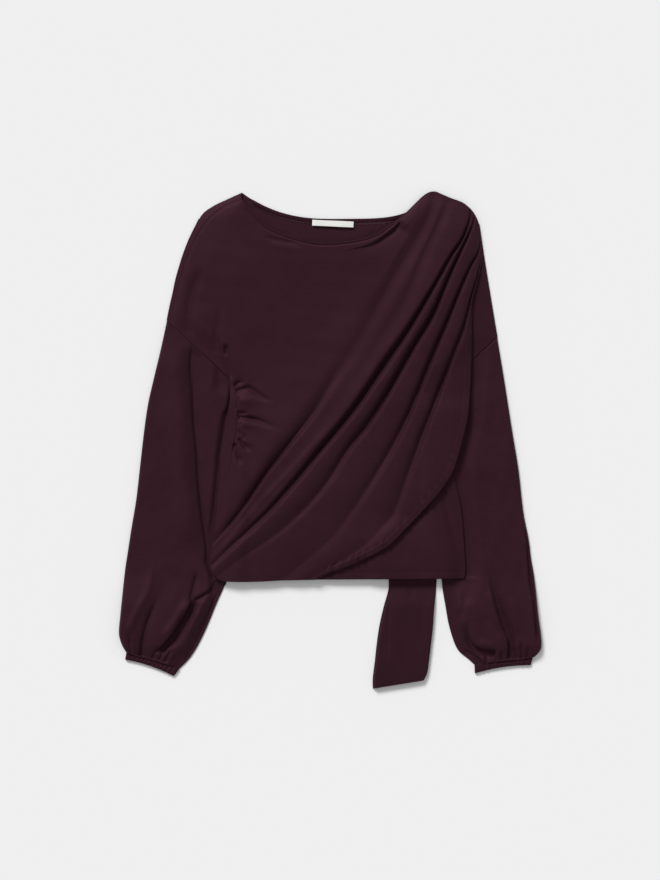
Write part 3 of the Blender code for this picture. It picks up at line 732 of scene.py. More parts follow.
plainGuide = dict(depth=(0,) * 6, gentle=(8,) * 6, steep=(8,) * 6)
drape = dict(
    neckShare=0.55, neckRows=104, neckPower=1.12, shoulderRows=98, shoulderPower=1.25, sewnShare=0.08,
    bunching=0.55, swell=1.3, swellFrom=5, swellWidth=22, steepPower=2.4, gentlePower=1.7,
    neckline=[(108, 327.4), (88.5, 311.8), (63.8, 295.8), (30.4, 287.1), (-15.9, 284.5), (-54.4, 292.9),
              (-89, 307), (-114, 329.5), (-124, 341.5), (-128.6, 350), (-127.6, 357.6)],
    neckCrest=(4, 7, 3.8, 0.5, 0, 0), neckGroove=1.1, neckGrooveIn=2.8, neckGrooveWidth=1.3,
    shoulder=[(-127.6, 357.6), (-146.4, 349.4), (-169.7, 337.8), (-188.5, 320.4), (-203, 294.3),
              (-213.2, 268.2), (-223.3, 234.9), (-229.1, 207.3), (-236.3, 174)],
    guides=dict(
        chest=dict(
            columns=32,
            line=[(120.3, 339.3), (100, 300), (60, 273), (8, 262), (-50, 266), (-92, 281), (-128, 300),
                  (-150, 300), (-174, 262), (-178, 205), (-162, 140), (-139.2, 84.1)],
            stations=(0, 0.09, 0.19, 0.29, 0.39, 0.46, 0.52, 0.57, 0.67, 0.78, 0.89, 1),
            crest=(6, 7.8, 5.2, 2.6, 1.5, 0)),
        waist=dict(
            columns=96,
            line=[(133.4, 352), (88, 258.1), (13.5, 163), (-68, 66), (-157, -22)],
            crest=(5.6, 7.0, 5.8, 4.4, 3, 0)),
        softValley=dict(
            columns=66,
            line=[(152, 359.6), (149, 342), (134, 306), (106, 258.1), (74, 203), (33.4, 131.9), (5.8, 90),
                  (-24.7, 39.2), (-60.9, -7.3), (-91.4, -46.4), (-126.2, -97.2), (-142.8, -119),
                  (-168.9, -149.3)],
            crest=(6.4, 7.6, 7.6, 8.6, 7.6, 1.8), depth=(3.4, 3.8, 1.4, 4.8, 6.4, 1.6),
            gentle=(6, 11, 15, 15, 12, 9), steep=(9, 12, 12, 5, 3.2, 4)),
        shoulderValley=dict(
            columns=24,
            line=[(174, 350.5), (168, 340), (160, 320.5), (137, 271), (99, 185.6), (22.5, 72.5),
                  (-72.5, -58), (-171.4, -162)],
            crest=(7, 8.5, 9.5, 9.6, 7.6, 1.4), depth=(2.6, 2.2, 0.5, 0, 0, 0),
            gentle=(5, 7, 11, 12, 12, 12), steep=(8, 11, 12, 8, 8, 8)),
        firstPleat=dict(
            columns=40,
            line=[(202.3, 335), (203, 320.4), (191.4, 290), (175, 265.3), (148.6, 218.9), (113.1, 159.5),
                  (77.7, 108), (43.5, 58), (18.9, 26.1), (-17.4, -17.4), (-47.9, -55.1), (-84.1, -97.2),
                  (-113.1, -126.2), (-149.4, -159.5), (-172.8, -182)],
            crest=(8, 10.5, 12.8, 12.5, 10, 2.4), depth=(6.5, 9.5, 12.8, 12, 7.5, 1.6),
            gentle=(2.4, 2.4, 4.8, 3.8, 5, 5), steep=(2.2, 2.6, 5.4, 4.6, 4.6, 4.5)),
        secondPleat=dict(
            columns=28,
            line=[(210.5, 324), (203.6, 304.5), (187, 269.7), (169.7, 232), (147.2, 179.8), (118.3, 131.9),
                  (81.2, 66), (50.8, 18.9), (24.7, -14.5), (-4.4, -60.9), (-39.2, -101.5), (-76.9, -134.9),
                  (-134, -174), (-165, -198)],
            crest=(8, 10.5, 11.5, 10, 7, 2), depth=(6, 10.5, 11, 5.4, 1.8, 0),
            gentle=(2.4, 3.6, 4.4, 6, 9, 10), steep=(2.2, 3.8, 4.4, 5.0, 7, 8)),
        thirdPleat=dict(
            columns=32,
            line=[(218.5, 290), (213.7, 269.7), (201.5, 247.9), (185.6, 211.7), (167.5, 167.3),
                  (148.3, 122), (128, 72), (111.5, 33), (87, -14.5), (58, -62.4), (24.7, -111.7),
                  (-4.4, -148), (-70, -202.6)],
            crest=(7, 9, 9.5, 8.2, 5.2, 2.6), depth=(4.5, 7.8, 7.6, 4.2, 0.7, 0),
            gentle=(2.4, 3.4, 4.6, 6.5, 9, 10), steep=(1.8, 2.8, 3.6, 5, 7, 8)),
        fourthPleat=dict(
            columns=32,
            line=[(220.6, 272.6), (213.2, 239.2), (203, 203), (192.8, 162.4), (174.9, 116), (155.2, 63.8),
                  (140.7, 26.1), (127, -10), (113.1, -47.9), (91.4, -105.9), (72.5, -128), (43.5, -156.6),
                  (-30, -201.9)],
            crest=(5, 7.5, 8.5, 7, 3.8, 2), depth=(3, 5.8, 6.8, 4.0, 0.5, 0),
            gentle=(2.2, 3.2, 4.6, 6.5, 9, 10), steep=(3, 2.8, 3.6, 5, 7, 8)),
        freeEdge=dict(
            columns=36,
            line=[(221.8, 265.3), (216.8, 242.2), (210, 218.1), (205.5, 195.8), (204.4, 153.7),
                  (203.7, 108.8), (201.5, 71), (197.9, 33.4), (188.5, -7.2), (177.5, -43.5),
                  (162.4, -68.1), (144.3, -89.9), (108.8, -127.6), (81.2, -153.7), (37.7, -176.9),
                  (-2.9, -192.8), (-20.3, -201.5)],
            crest=(0.6, 3.0, 6.2, 6.0, 3.4, 1.0)),
    ),
    bows=[
        dict(span=(1, 2), row=-1, run=(0.8, 1), line=[
            (-139.2, 84.1), (-137.8, 66), (-140.6, 48), (-147.9, 36.3), (-151.4, 14.5), (-157, -22)]),
        dict(span=(2, 3), row=-1, run=(0.8, 1), line=[
            (-157, -22), (-159.5, -63.8), (-162.4, -87), (-163.8, -105.8), (-168.2, -142.1),
            (-168.9, -149.3)]),
        dict(span=(4, 7), row=-1, run=(0.9, 1), line=[
            (-171.4, -162), (-172.6, -176), (-170.6, -188), (-166, -196.5), (-158, -202.3), (-147, -204.4),
            (-110, -204.6), (-70, -202.6)]),
        dict(span=(1, 9), row=0, run=(0.08, 0), line=[
            (120.3, 339.3), (133.4, 352), (143, 358.2), (152, 359.6), (160, 356.5), (174, 350.5),
            (192, 343.5), (203, 334.5), (210.5, 324), (214.5, 312), (218.5, 290), (220.6, 272.6),
            (221.8, 265.3)]),
    ],
    sideRise=3.4, sideRiseIn=(0, 50), sideRiseOut=(10, -30), sideRiseRun=(0.45, 0.85),
    hemBand=9, hemGroove=0.14, hemGrooveWidth=1.4, hemRise=0.35,
    puckerStep=13, puckerHeight=2.3, puckerPower=1.6, puckerMiddle=0.4, puckerFrom=(0.4, 0.6),
    seamGroove=1.1, seamGrooveWidth=1.4, allowance=1.2, rimFall=3.4, rimWidth=13, allowanceRun=(12, 60),
    floor=-0.8, rimFloor=-1.8, rimFloorRun=(14, 4),
    waves=[(0.45, 85, 7), (0.16, 34, 8)],
    shoulderSeam=[(-130.5, 346.6), (-153.7, 336.4), (-174, 320.4), (-188.5, 301.6), (-200.1, 278.4),
                  (-208.8, 258.1), (-217.5, 227.7), (-224.8, 195.8), (-230.5, 168.2)],
    creases=[
        fold(6.5, 15, (103.5, 319), (91.3, 305.9), (76.8, 294.3), (63.8, 285.6), (49.3, 279.8),
             (29, 274.9), (14.5, 271.9), form="ledge", floor=1, fade=(0.12, 0.85)),
        # the core of the soft valley
        fold(1.8, 2.8, (-10, 62), (-24.7, 39.2), (-60.9, -7.3), (-91.4, -46.4), (-126.2, -97.2),
             (-142, -118), (-160, -141), fade=(0.4, 0.12)),
        # the crest beside the first pleat
        fold(-1.1, 4.6, (11.6, 33.4), (-39.2, -24.7), (-94.3, -84.1), (-137.8, -134.9), (-162.4, -166.8),
             fade=(0.2, 0.1)),
        fold(1.5, 3.2, (-98, 295), (-78, 289), (-54, 285), (-38, 284), fade=(0.3, 0.4)),
        fold(-0.6, 5, (-90, 284), (-60, 277), (-30, 274)),
        fold(3.2, 6.5, (-184, 254), (-196, 217), (-203, 180), (-205, 146), fade=(0.3, 0.2)),
        fold(-0.7, 6, (-200, 262), (-212, 215), (-220, 170)),
        fold(1.8, 5.5, (-160, 200), (-163, 162), (-168, 118), fade=(0.4, 0.2)),
        fold(-0.6, 6, (-180, 200), (-184, 160), (-186, 135)),
        fold(4.2, 3.6, (-149.5, 138), (-150.5, 129), (-149, 121), fade=(0.2, 0.3)),
        fold(1.6, 2.6, (-149, 128), (-145.5, 108), (-141, 86), fade=(0.2, 0.2)),
        # gathers that the left side seam holds
        fold(4.6, 2.6, (-138.6, 77), (-134, 82), (-129, 83.5), (-123, 80), form="sharp", fade=(0.02, 0.6)),
        fold(4.8, 3.2, (-136, 70.5), (-127, 74), (-117.5, 75.4), (-105, 66.7), (-94, 59.5), (-78, 57),
             fade=(0.02, 0.6)),
        fold(-1.4, 2.2, (-134, 73), (-124, 77.5), (-114, 78), fade=(0.2, 0.5)),
        fold(-2.0, 6, (-132, 58), (-116, 56), (-98, 50), fade=(0.1, 0.7)),
        fold(4.6, 2.6, (-133.5, 39.5), (-126, 38.6), (-117, 39), form="sharp", fade=(0.02, 0.5)),
        fold(4.8, 3.2, (-133, 33), (-117.8, 31.9), (-103.3, 28), (-88.8, 21.8), (-70, 14),
             fade=(0.02, 0.65)),
        fold(-1.3, 2.2, (-131, 36), (-120, 35.4), (-108, 31.5), fade=(0.2, 0.5)),
        fold(-1.7, 5, (-128, 24), (-110, 20), (-94, 12), fade=(0.1, 0.7)),
        fold(2.4, 2.8, (-133, 18), (-129, 9), (-122, 1), (-114, -4), fade=(0.25, 0.5)),
        fold(4.0, 2.8, (-133, 5), (-128, -3), (-121, -11), (-112, -16), fade=(0.18, 0.45)),
        fold(-1.5, 2.4, (-131, 5), (-125, -0.5), (-117, -7), fade=(0.1, 0.5)),
        fold(-1.3, 4, (-122, 4), (-114, -4), (-104, -12), fade=(0.1, 0.7)),
        fold(4.2, 2.6, (-138, -3), (-136.5, -15), (-132, -27), (-126, -36), fade=(0.15, 0.35)),
        fold(-1.4, 2.2, (-134, -8), (-132, -18), (-127, -28), fade=(0.1, 0.4)),
        fold(-0.9, 1.6, (-137, -8), (-137, -20), (-132, -34), fade=(0.1, 0.3)),
        # the side seam itself
        fold(1.0, 1.4, (-138.6, 78), (-136, 70), (-133.2, 58), (-134.2, 48), (-132.8, 43), (-134.2, 29),
             (-134.8, 8), (-138, -4), (-142, -28), (-150, -80), (-156, -130), fade=(0.02, 0.5)),
        # slack between the chest and the first pleat
        fold(0.6, 15, (-20, 262), (10, 205), (-10, 150)),
        fold(-0.7, 16, (60, 240), (40, 180), (0, 120)),
        fold(0.6, 16, (-100, 250), (-120, 200), (-118, 150)),
    ],
    node="front_drape", flat=(560, 470), area=0.200, held="gathered", restsOn=["front_panel"],
)


# the drape's own edge: its neckline, and past the neck point its left shoulder
def edgePoints(shares):
    neck = drape["neckShare"]
    onNeck = alongCurve(smoothCurve(drape["neckline"]), np.clip(shares / neck, 0, 1))
    onShoulder = alongCurve(smoothCurve(drape["shoulder"]), np.clip((shares - neck) / (1 - neck), 0, 1))
    return np.where((shares <= neck)[:, None], onNeck, onShoulder)


# the edge and the guides, as points and values for each of the grid's rows
def readGuides(shares):
    lines = [edgePoints(shares)]
    for guide in drape["guides"].values():
        if "stations" in guide:
            lines.append(alongStations(guide["line"], guide["stations"], shares))
        else:
            lines.append(alongCurve(smoothCurve(guide["line"]), shares))
    values = []
    for guide in [dict(crest=drape["neckCrest"])] + list(drape["guides"].values()):
        whole = {**plainGuide, **guide}
        values.append({key: alongValues(whole[key], shares) for key in ["crest", *plainGuide]})
    return np.stack(lines), values


# slopes of the crests before and after each guide, so that the cloth runs smoothly over it
def crestSlopes(lines, heights, narrowest=1.0, least=0.1, steepest=0.5):
    spans = np.diff(lines, axis=0)
    widths = np.maximum(np.linalg.norm(spans, axis=2), narrowest)
    rises = np.diff(heights, axis=0) / widths
    arriving = np.concatenate([rises[:1], rises])
    leaving = np.concatenate([rises, rises[-1:]])
    for index in range(1, len(lines) - 1):
        both = slice(index - 1, index + 1)
        run = np.gradient(lines[index], axis=0)
        climb = np.gradient(heights[index]) / np.maximum(np.linalg.norm(run, axis=1), 1e-6)
        along = (spans[both] / widths[both][..., None] * unit(run)).sum(axis=2)
        across = np.sqrt(np.maximum(1 - along ** 2, least))
        slopes = (rises[both] - climb * along) / across
        near, far = widths[both]
        slope = np.clip((slopes[0] * far + slopes[1] * near) / (near + far), -steepest, steepest)
        arriving[index], leaving[index] = slope * across + climb * along
    return arriving, leaving


# bends the grid's rows near one end from straight spans to a real edge
def bowOut(plan, start, end, edge, row, weights):
    chord = plan[row, start:end + 1].copy()
    length = runLength(chord)
    real = alongCurve(smoothCurve(edge), length / length[-1])
    plan[:, start:end + 1] += (real - chord)[None] * weights[:, None, None]


# the grid between the guides: its plan, its height over the layers, and where each guide is in it
def drapeGrid(shares):
    lines, values = readGuides(shares)
    arriving, leaving = crestSlopes(lines, np.stack([value["crest"] for value in values]))
    plan = []
    relief = []
    starts = [0]
    for index, guide in enumerate(drape["guides"].values()):
        t = bunched(np.arange(guide["columns"]) / guide["columns"], drape["bunching"])
        if index == len(drape["guides"]) - 1:
            t = np.append(t, 1.0)
        start, end = lines[index], lines[index + 1]
        width = np.linalg.norm(end - start, axis=1)[:, None]
        near, far = values[index], values[index + 1]
        crests = ((2 * t ** 3 - 3 * t ** 2 + 1) * near["crest"][:, None]
                  + (t ** 3 - 2 * t ** 2 + t) * width * leaving[index][:, None]
                  + (3 * t ** 2 - 2 * t ** 3) * far["crest"][:, None]
                  + (t ** 3 - t ** 2) * width * arriving[index + 1][:, None])
        swell = drape["swell"] * np.sin(math.pi * t) * np.clip(width / drape["swellWidth"], 0, 1)
        swell = swell * (index >= drape["swellFrom"])
        fromStart = np.exp(-(t * width / near["steep"][:, None]) ** drape["steepPower"])
        fromEnd = np.exp(-((1 - t) * width / far["gentle"][:, None]) ** drape["gentlePower"])
        pressed = near["depth"][:, None] * fromStart * smoothStep(1 - t, 0, 0.5)
        pressed = pressed + far["depth"][:, None] * fromEnd * smoothStep(t, 0, 0.5)
        plan.append(start[:, None] + (end - start)[:, None] * t[None, :, None])
        relief.append(crests + swell - pressed)
        starts.append(starts[-1] + guide["columns"])
    plan = np.concatenate(plan, axis=1)
    for bow in drape["bows"]:
        first, last = bow["span"]
        bowOut(plan, starts[first], starts[last], bow["line"], bow["row"], smoothStep(shares, *bow["run"]))
    return plan[:, :, 0], plan[:, :, 1], np.concatenate(relief, axis=1), starts


# narrow hem along the free edge and the bottom, puckered by its stitching
def drapeHem(x, y):
    band = drape["hemBand"]
    edge = smoothCurve(drape["guides"]["freeEdge"]["line"], 8)
    away, share, _ = lineDistance(x, y, edge)
    turn = 2 * math.pi * (share * runLength(edge)[-1] + 0.5 * away) / drape["puckerStep"]
    pucker = (0.5 + 0.5 * np.sin(turn + 1.4 * np.sin(turn * 0.23))) ** drape["puckerPower"]
    pucker = (pucker - drape["puckerMiddle"]) * (0.75 + 0.35 * np.sin(turn * 0.31 + 1))
    pucker = pucker * smoothStep(share, *drape["puckerFrom"]) * smoothStep(away, band + 4, band - 2)
    raised = drape["puckerHeight"] * pucker + drape["hemRise"] * smoothStep(away, band, band - 2)
    return raised - groove(away - band, drape["hemGroove"], drape["hemGrooveWidth"])


# shoulder seam: a groove, and the allowance beyond it stands higher and falls at the rim
def drapeShoulder(x, y, away):
    fromSeam = lineDistance(x, y, smoothCurve(drape["shoulderSeam"], 6))[0]
    raised = drape["allowance"] * (1 - smoothStep(away, *drape["allowanceRun"]))
    raised = raised - drape["rimFall"] * np.clip(1 - away / drape["rimWidth"], 0, 1) ** 1.6
    return raised - groove(fromSeam, drape["seamGroove"], drape["seamGrooveWidth"])


def makeDrape():
    neck = drape["neckShare"]
    first = neck * (np.arange(drape["neckRows"]) / drape["neckRows"]) ** drape["neckPower"]
    rest = 1 - np.arange(drape["shoulderRows"] + 1) / drape["shoulderRows"]
    shares = np.concatenate([first, 1 - (1 - neck) * rest ** drape["shoulderPower"]])
    x, y, relief, starts = drapeGrid(shares)

    along = np.broadcast_to(shares[:, None], x.shape)
    relief = np.maximum(relief, 0) * smoothStep(along, -0.03, drape["sewnShare"])
    column = np.arange(x.shape[1])
    atSide = smoothStep(column, *(starts[1] + np.array(drape["sideRiseIn"])))
    atSide = atSide * smoothStep(column, *(starts[3] + np.array(drape["sideRiseOut"])))
    atSide = atSide * smoothStep(along, *drape["sideRiseRun"]) * smoothStep(1 - along, 0, 0.05)
    relief = relief + drape["sideRise"] * atSide - pressCreases(x, y, drape["creases"])
    fromNeck, share, _ = lineDistance(x, y, smoothCurve(drape["neckline"], 6))
    neckGroove = groove(fromNeck - drape["neckGrooveIn"], drape["neckGroove"], drape["neckGrooveWidth"])
    fromShoulder = lineDistance(x, y, smoothCurve(drape["shoulder"], 6))[0]
    air = bodyAir(x, y)
    relief = relief - neckGroove * smoothStep(share, 1, 0.9)
    relief = relief + uneven(x, y, drape["waves"]) * air * smoothStep(along, 0, 0.06)
    relief = relief + drapeHem(x, y) + drapeShoulder(x, y, fromShoulder)
    lowest = drape["floor"] + drape["rimFloor"] * smoothStep(fromShoulder, *drape["rimFloorRun"])

    z = bedHeight(x, y) + 2 * layerStep + layers["bodyAir"] * air + layers["wall"]
    z = z + layers["drapeAir"] * air * smoothStep(along, 0, 0.05) + hemLift(x, y)
    z = z + np.maximum(relief, lowest)
    points = np.dstack([x, y, z])
    points = roundLip(points, np.where(shares > neck, np.maximum(z[:, 0] - 1.6, 1.2), 2.4), last=False)
    points = roundLip(points, 1.9, last=True)
    flipped = turned(points)
    flipped = roundLip(flipped, np.maximum(flipped[:, 0, 2] - 1.6, 1.0), last=False, bulge=0.3)
    flipped = roundLip(flipped, np.where(flipped[:, -1, 1] < -198, 1.9, 2.4), last=True)
    place(sheetPiece("frontDrape", turned(flipped), jersey, flip=True), drape)
    return points


drapePoints = makeDrape()
print("front drape made")

# neck facing and its blank label

facing = dict(
    width=8, firstShare=0.1, lastShare=0.85, columns=200, rows=13, lip=0.9, under=0.8,
    lie=0.9, lieRun=(3, 7.5), groove=0.3, grooveDrop=6.3, grooveWidth=0.7,
    ripple=0.12, rippleTurn=1.05, rippleDrop=6, rippleWidth=3,
    node="neck_facing", flat=(262, 10), area=0.0022, restsOn=["back_panel"],
)
label = dict(
    centre=(4.2, 313.3), tilt=-2.6, length=60, width=8.5, wall=0.5, crown=0.25, waver=0.2,
    endFold=0.35, endFoldIn=1.2, node="neck_label", flat=(60, 10), restsOn=["neck_facing"],
)


def makeFacing():
    x, y = bodyGrid(body["neck"])
    share = np.linspace(0, 1, x.shape[1])
    kept = (share >= facing["firstShare"]) & (share <= facing["lastShare"])
    top = np.column_stack([x[-1], y[-1]])[kept]
    top = alongCurve(top, np.linspace(0, 1, facing["columns"]))
    rows = []
    for drop in facing["width"] * (1 - np.linspace(0, 1, facing["rows"])):
        height = layerStep + layers["bandWall"] - facing["lie"] * smoothStep(drop, *facing["lieRun"])
        height -= groove(drop - facing["grooveDrop"], facing["groove"], facing["grooveWidth"])
        ripple = groove(drop - facing["rippleDrop"], facing["ripple"], facing["rippleWidth"])
        ripple = ripple * np.sin(np.arange(len(top)) * facing["rippleTurn"])
        rows.append(np.column_stack([top[:, 0], top[:, 1] - drop, height + ripple]))
    points = np.stack(rows, axis=1)
    points = roundLip(points, facing["lip"], last=True, under=facing["under"])
    points = roundLip(points, facing["lip"], last=False, under=facing["under"])
    place(sheetPiece("neckFacing", points, ribJersey, flip=True), facing)
    return rows


def makeLabel():
    tilt = math.radians(label["tilt"])
    s, w = np.meshgrid(np.linspace(-0.5, 0.5, 61), np.linspace(-0.5, 0.5, 15), indexing="ij")
    along = s * label["length"]
    across = w * label["width"] * (1 + 0.02 * np.sin(7 * s))
    z = layerStep + 2 * layers["bandWall"] + layers["gap"]
    z = z + label["crown"] * np.cos(math.pi * s) + label["waver"] * np.sin(9 * s + 1) * (0.5 - w)
    fromEnd = (0.5 - np.abs(s)) * label["length"]
    z = z - groove(fromEnd - label["endFoldIn"], label["endFold"], label["endFoldIn"])
    x = label["centre"][0] + along * math.cos(tilt) - across * math.sin(tilt)
    y = label["centre"][1] + along * math.sin(tilt) + across * math.cos(tilt)
    piece = sheetPiece("neckLabel", np.dstack([x, y, z]), labelWhite, uv=np.dstack([along, across]) * mm)
    giveWall(piece, label["wall"])
    place(piece, label)


facingRows = makeFacing()
makeLabel()
print("neck made")

# sleeves

sleeveShape = dict(
    topPoints=128, lowPoints=30, rowsPerSection=12, bunching=0.25, crownRise=16, crownLift=0.8,
    hemRamp=46, armpitRamp=24, puff=4.4, puffLow=(-190, -245), puffEnd=(-322, -296),
    gutterDepth=1.4, gutterWidth=2.5, roll=5.0, innerRoll=3.0, lowInset=2.2, lowest=1.5, wall=1.0,
)


def makeSleeve(sleeve):
    rows = smoothCurve(sleeve["sections"], sleeveShape["rowsPerSection"])
    outer, inner = rows[:, None, 0:2], rows[:, None, 2:4]
    tuck, crown = rows[:, None, 4], rows[:, None, 5]
    width = np.linalg.norm(outer - inner, axis=2)
    s = bunched(np.linspace(0, 1, sleeveShape["topPoints"]), sleeveShape["bunching"])
    fromInner = s * width
    top = between(inner, outer, np.broadcast_to(s, fromInner.shape), np.zeros_like(fromInner))
    x, y = top[..., 0], top[..., 1]

    # where the body's cloth covers the sleeve it lies flat, and beside that cloth it rises again
    tucked, gutter = layers["tucked"], sleeve["gutter"]
    cover = np.array(sleeve["cover"][::-1], float)
    low, high = cover[0, 1], cover[-1, 1]
    outside = np.sign(cover[0, 0]) * (x - np.interp(y, cover[:, 1], cover[:, 0]))
    beside = smoothStep(outside, gutter, gutter + sleeve["beside"])
    freed = smoothStep(fromInner, tuck, tuck + sleeveShape["crownRise"])
    rise = beside + (freed - beside) * smoothStep(y, low, low - sleeveShape["hemRamp"])
    rise = rise + (freed - rise) * smoothStep(y, high - sleeveShape["armpitRamp"], high)
    puff = sleeveShape["puff"] * smoothStep(y, *sleeveShape["puffLow"])
    puff = puff * smoothStep(y, *sleeveShape["puffEnd"])
    height = tucked + (crown + puff + sleeveShape["crownLift"] - tucked) * rise
    alongside = smoothStep(y, low - 2, low + 4) * smoothStep(y, high, high - 9)
    height = height - alongside * groove(outside - gutter, sleeveShape["gutterDepth"],
                                         sleeveShape["gutterWidth"] + gutter)

    roll = sleeveShape["roll"]
    toEdge = np.clip((fromInner - (width - roll)) / roll, 0, 1)
    loose = smoothStep(fromInner, tuck * 0.8, tuck + 14) * (1 - toEdge)
    height = height + uneven(x, y, sleeve["waves"]) * loose - pressCreases(x, y, sleeve["creases"])
    height = np.maximum(height, sleeveShape["lowest"])
    height = 0.3 * crown + (height - 0.3 * crown) * np.sqrt(1 - toEdge ** 2 * 0.999)
    wall = sleeveShape["wall"]
    top[..., 2] = wall + (height - wall) * rounding(np.clip(fromInner / sleeveShape["innerRoll"], 0, 1))
    back = np.linspace(1, 0, sleeveShape["lowPoints"] + 2)[1:-1]
    inset = np.clip(back, sleeveShape["lowInset"] / width, 1 - sleeveShape["lowInset"] / width)
    points = np.concatenate([top, between(inner, outer, inset, np.zeros_like(inset))], axis=1)

    girth = np.concatenate([fromInner, width + (1 - back) * width], axis=1)
    run = runLength(0.5 * (rows[:, 0:2] + rows[:, 2:4]))
    uv = np.dstack([girth, np.broadcast_to(run[:, None], girth.shape)]) * mm
    piece = sheetPiece(sleeve["piece"], points, jersey, ring=True, flip=sleeve["mirrored"], uv=uv)
    giveWall(piece, wall)
    place(piece, sleeve)


makeSleeve(leftSleeve)
makeSleeve(rightSleeve)
print("sleeves made")

# cuffs: narrow bands gathered by their elastic

cuffShape = dict(
    rows=13, topPoints=190, lowPoints=30, lowInset=0.03, edge=2.5, rim=1.2, wall=0.9,
    height=4.6, bow=3, lowDrop=0.5, lowDropFrom=0.85,
    ripples=13, rippleHeight=0.34, stitchRows=(2, 10), seams=(0.2, 0.82), seamDepth=0.35, seamWidth=0.06,
)
leftCuff = dict(
    outerTop=(-295.2, -308.6), innerTop=(-218.2, -331.7), outerLow=(-297, -318), innerLow=(-226, -342),
    seed=31, piece="leftCuff", mirrored=False,
    node="cuff_left", flat=(190, 10.5), area=0.0019, held="gathered",
)
rightCuff = dict(
    outerTop=(294.1, -315.6), innerTop=(209.2, -325.6), outerLow=(291, -326), innerLow=(210, -338),
    seed=37, piece="rightCuff", mirrored=True,
    node="cuff_right", flat=(200, 12), area=0.0021, held="gathered",
)


def makeCuff(cuff):
    v = np.linspace(0, 1, cuffShape["rows"])[:, None, None]
    outer = np.array(cuff["outerTop"]) * (1 - v) + np.array(cuff["outerLow"]) * v
    inner = np.array(cuff["innerTop"]) * (1 - v) + np.array(cuff["innerLow"]) * v
    width = np.linalg.norm(outer - inner, axis=2)
    s = np.linspace(0, 1, cuffShape["topPoints"])[None, :]
    back = np.linspace(1, 0, cuffShape["lowPoints"] + 2)[None, 1:-1]
    back = np.clip(back, cuffShape["lowInset"], 1 - cuffShape["lowInset"])
    down = v[..., 0]
    turn = 2 * math.pi * cuffShape["ripples"] * (s + 0.012 * np.sin(19 * s + cuff["seed"]) + 0.006 * down)
    ripple = cuffShape["rippleHeight"] * (np.cos(turn) - 1) * (0.75 + 0.35 * np.sin(11 * s + cuff["seed"]))
    full = cuffShape["height"] + ripple
    for seam in cuffShape["seams"]:
        full = full - groove(down - seam, cuffShape["seamDepth"], cuffShape["seamWidth"])
    toEdge = np.clip(np.minimum(s * width, (1 - s) * width) / cuffShape["edge"], 0, 1)
    height = cuffShape["rim"] + (full - cuffShape["rim"]) * rounding(toEdge)
    height = height - cuffShape["lowDrop"] * smoothStep(down, cuffShape["lowDropFrom"], 1.0)
    top = between(inner, outer, s, height, cuffShape["bow"] * down * np.sin(math.pi * s))
    flat = np.zeros((cuffShape["rows"], back.shape[1]))
    low = between(inner, outer, back, flat, cuffShape["bow"] * down * np.sin(math.pi * back))
    piece = sheetPiece(cuff["piece"], np.concatenate([top, low], axis=1), ribJersey, ring=True,
                       flip=cuff["mirrored"])
    giveWall(piece, cuffShape["wall"])
    place(piece, cuff)
    return [top[row, 6:-6] for row in cuffShape["stitchRows"]]


cuffRuns = makeCuff(leftCuff) + makeCuff(rightCuff)
print("cuffs made")

# sash tail: a folded tie that comes out below the hem


def makeSash():
    rows = smoothCurve(sash["sections"], 12)
    left, right, foldX = rows[:, None, 0:2], rows[:, None, 2:4], rows[:, None, 4]
    width = np.linalg.norm(right - left, axis=2)
    tucked, rim, rise = layers["tucked"], sash["rim"], sash["rise"]
    lowShare = np.linspace(0, 1, 40)[None, :] * (1 - rim / width)
    topShare = np.linspace(1, 0, 70)[None, :] * (1 - rim / width)
    top = between(left, right, topShare, np.full_like(topShare, tucked))
    x, y = top[..., 0], top[..., 1]
    fromFold = x - foldX
    relief = uneven(x, y, sash["waves"]) + rise - pressCreases(x, y, sash["creases"])
    relief = relief - (rise + sash["hiddenDrop"]) * smoothStep(y, *sash["hiddenY"])
    relief = relief - sash["foldDrop"] * smoothStep(fromFold, 1.5, -1.5) * smoothStep(y, *sash["foldDropY"])
    folded = groove(fromFold, sash["foldGroove"], sash["foldGrooveWidth"])
    relief = relief - folded * smoothStep(y, *sash["foldGrooveY"])
    relief = relief - (rise + sash["rimDrop"]) * smoothStep(topShare * width, 4, 0)
    top[..., 2] += np.clip(relief, sash["lowest"], sash["highest"]) * smoothStep(y, *sash["shownY"])

    columns = [between(left, right, lowShare, np.zeros_like(lowShare))]
    for angle in (35, 90, 145):
        out = rim * math.sin(math.radians(angle))
        height = 0.5 * (1 - math.cos(math.radians(angle))) * top[:, :1, 2]
        columns.append(between(left, right, 1 + (out - rim) / width, height))
    piece = sheetPiece("sashTail", np.concatenate(columns + [top], axis=1), sashJerseyPaintedShade)
    giveWall(piece, sash["wall"])
    place(piece, sash)


makeSash()
print("sash made")

# stitches along the hems, the band and the cuffs, from one node tree

stitch = dict(pitch=3.2, length=2.3, width=0.34, lift=0.05, hemY=-195.5, hemX=(-150, -40), inHem=1.5)
# columns: row of the facing, first x, last x
paleStitch = dict(
    pitch=2.6, width=0.6, lift=0.12,
    runs=[(1, -86, -30), (2, -70, -30), (0, 38, 88), (1, 36, 92), (2, 38, 90), (3, 44, 80)],
)


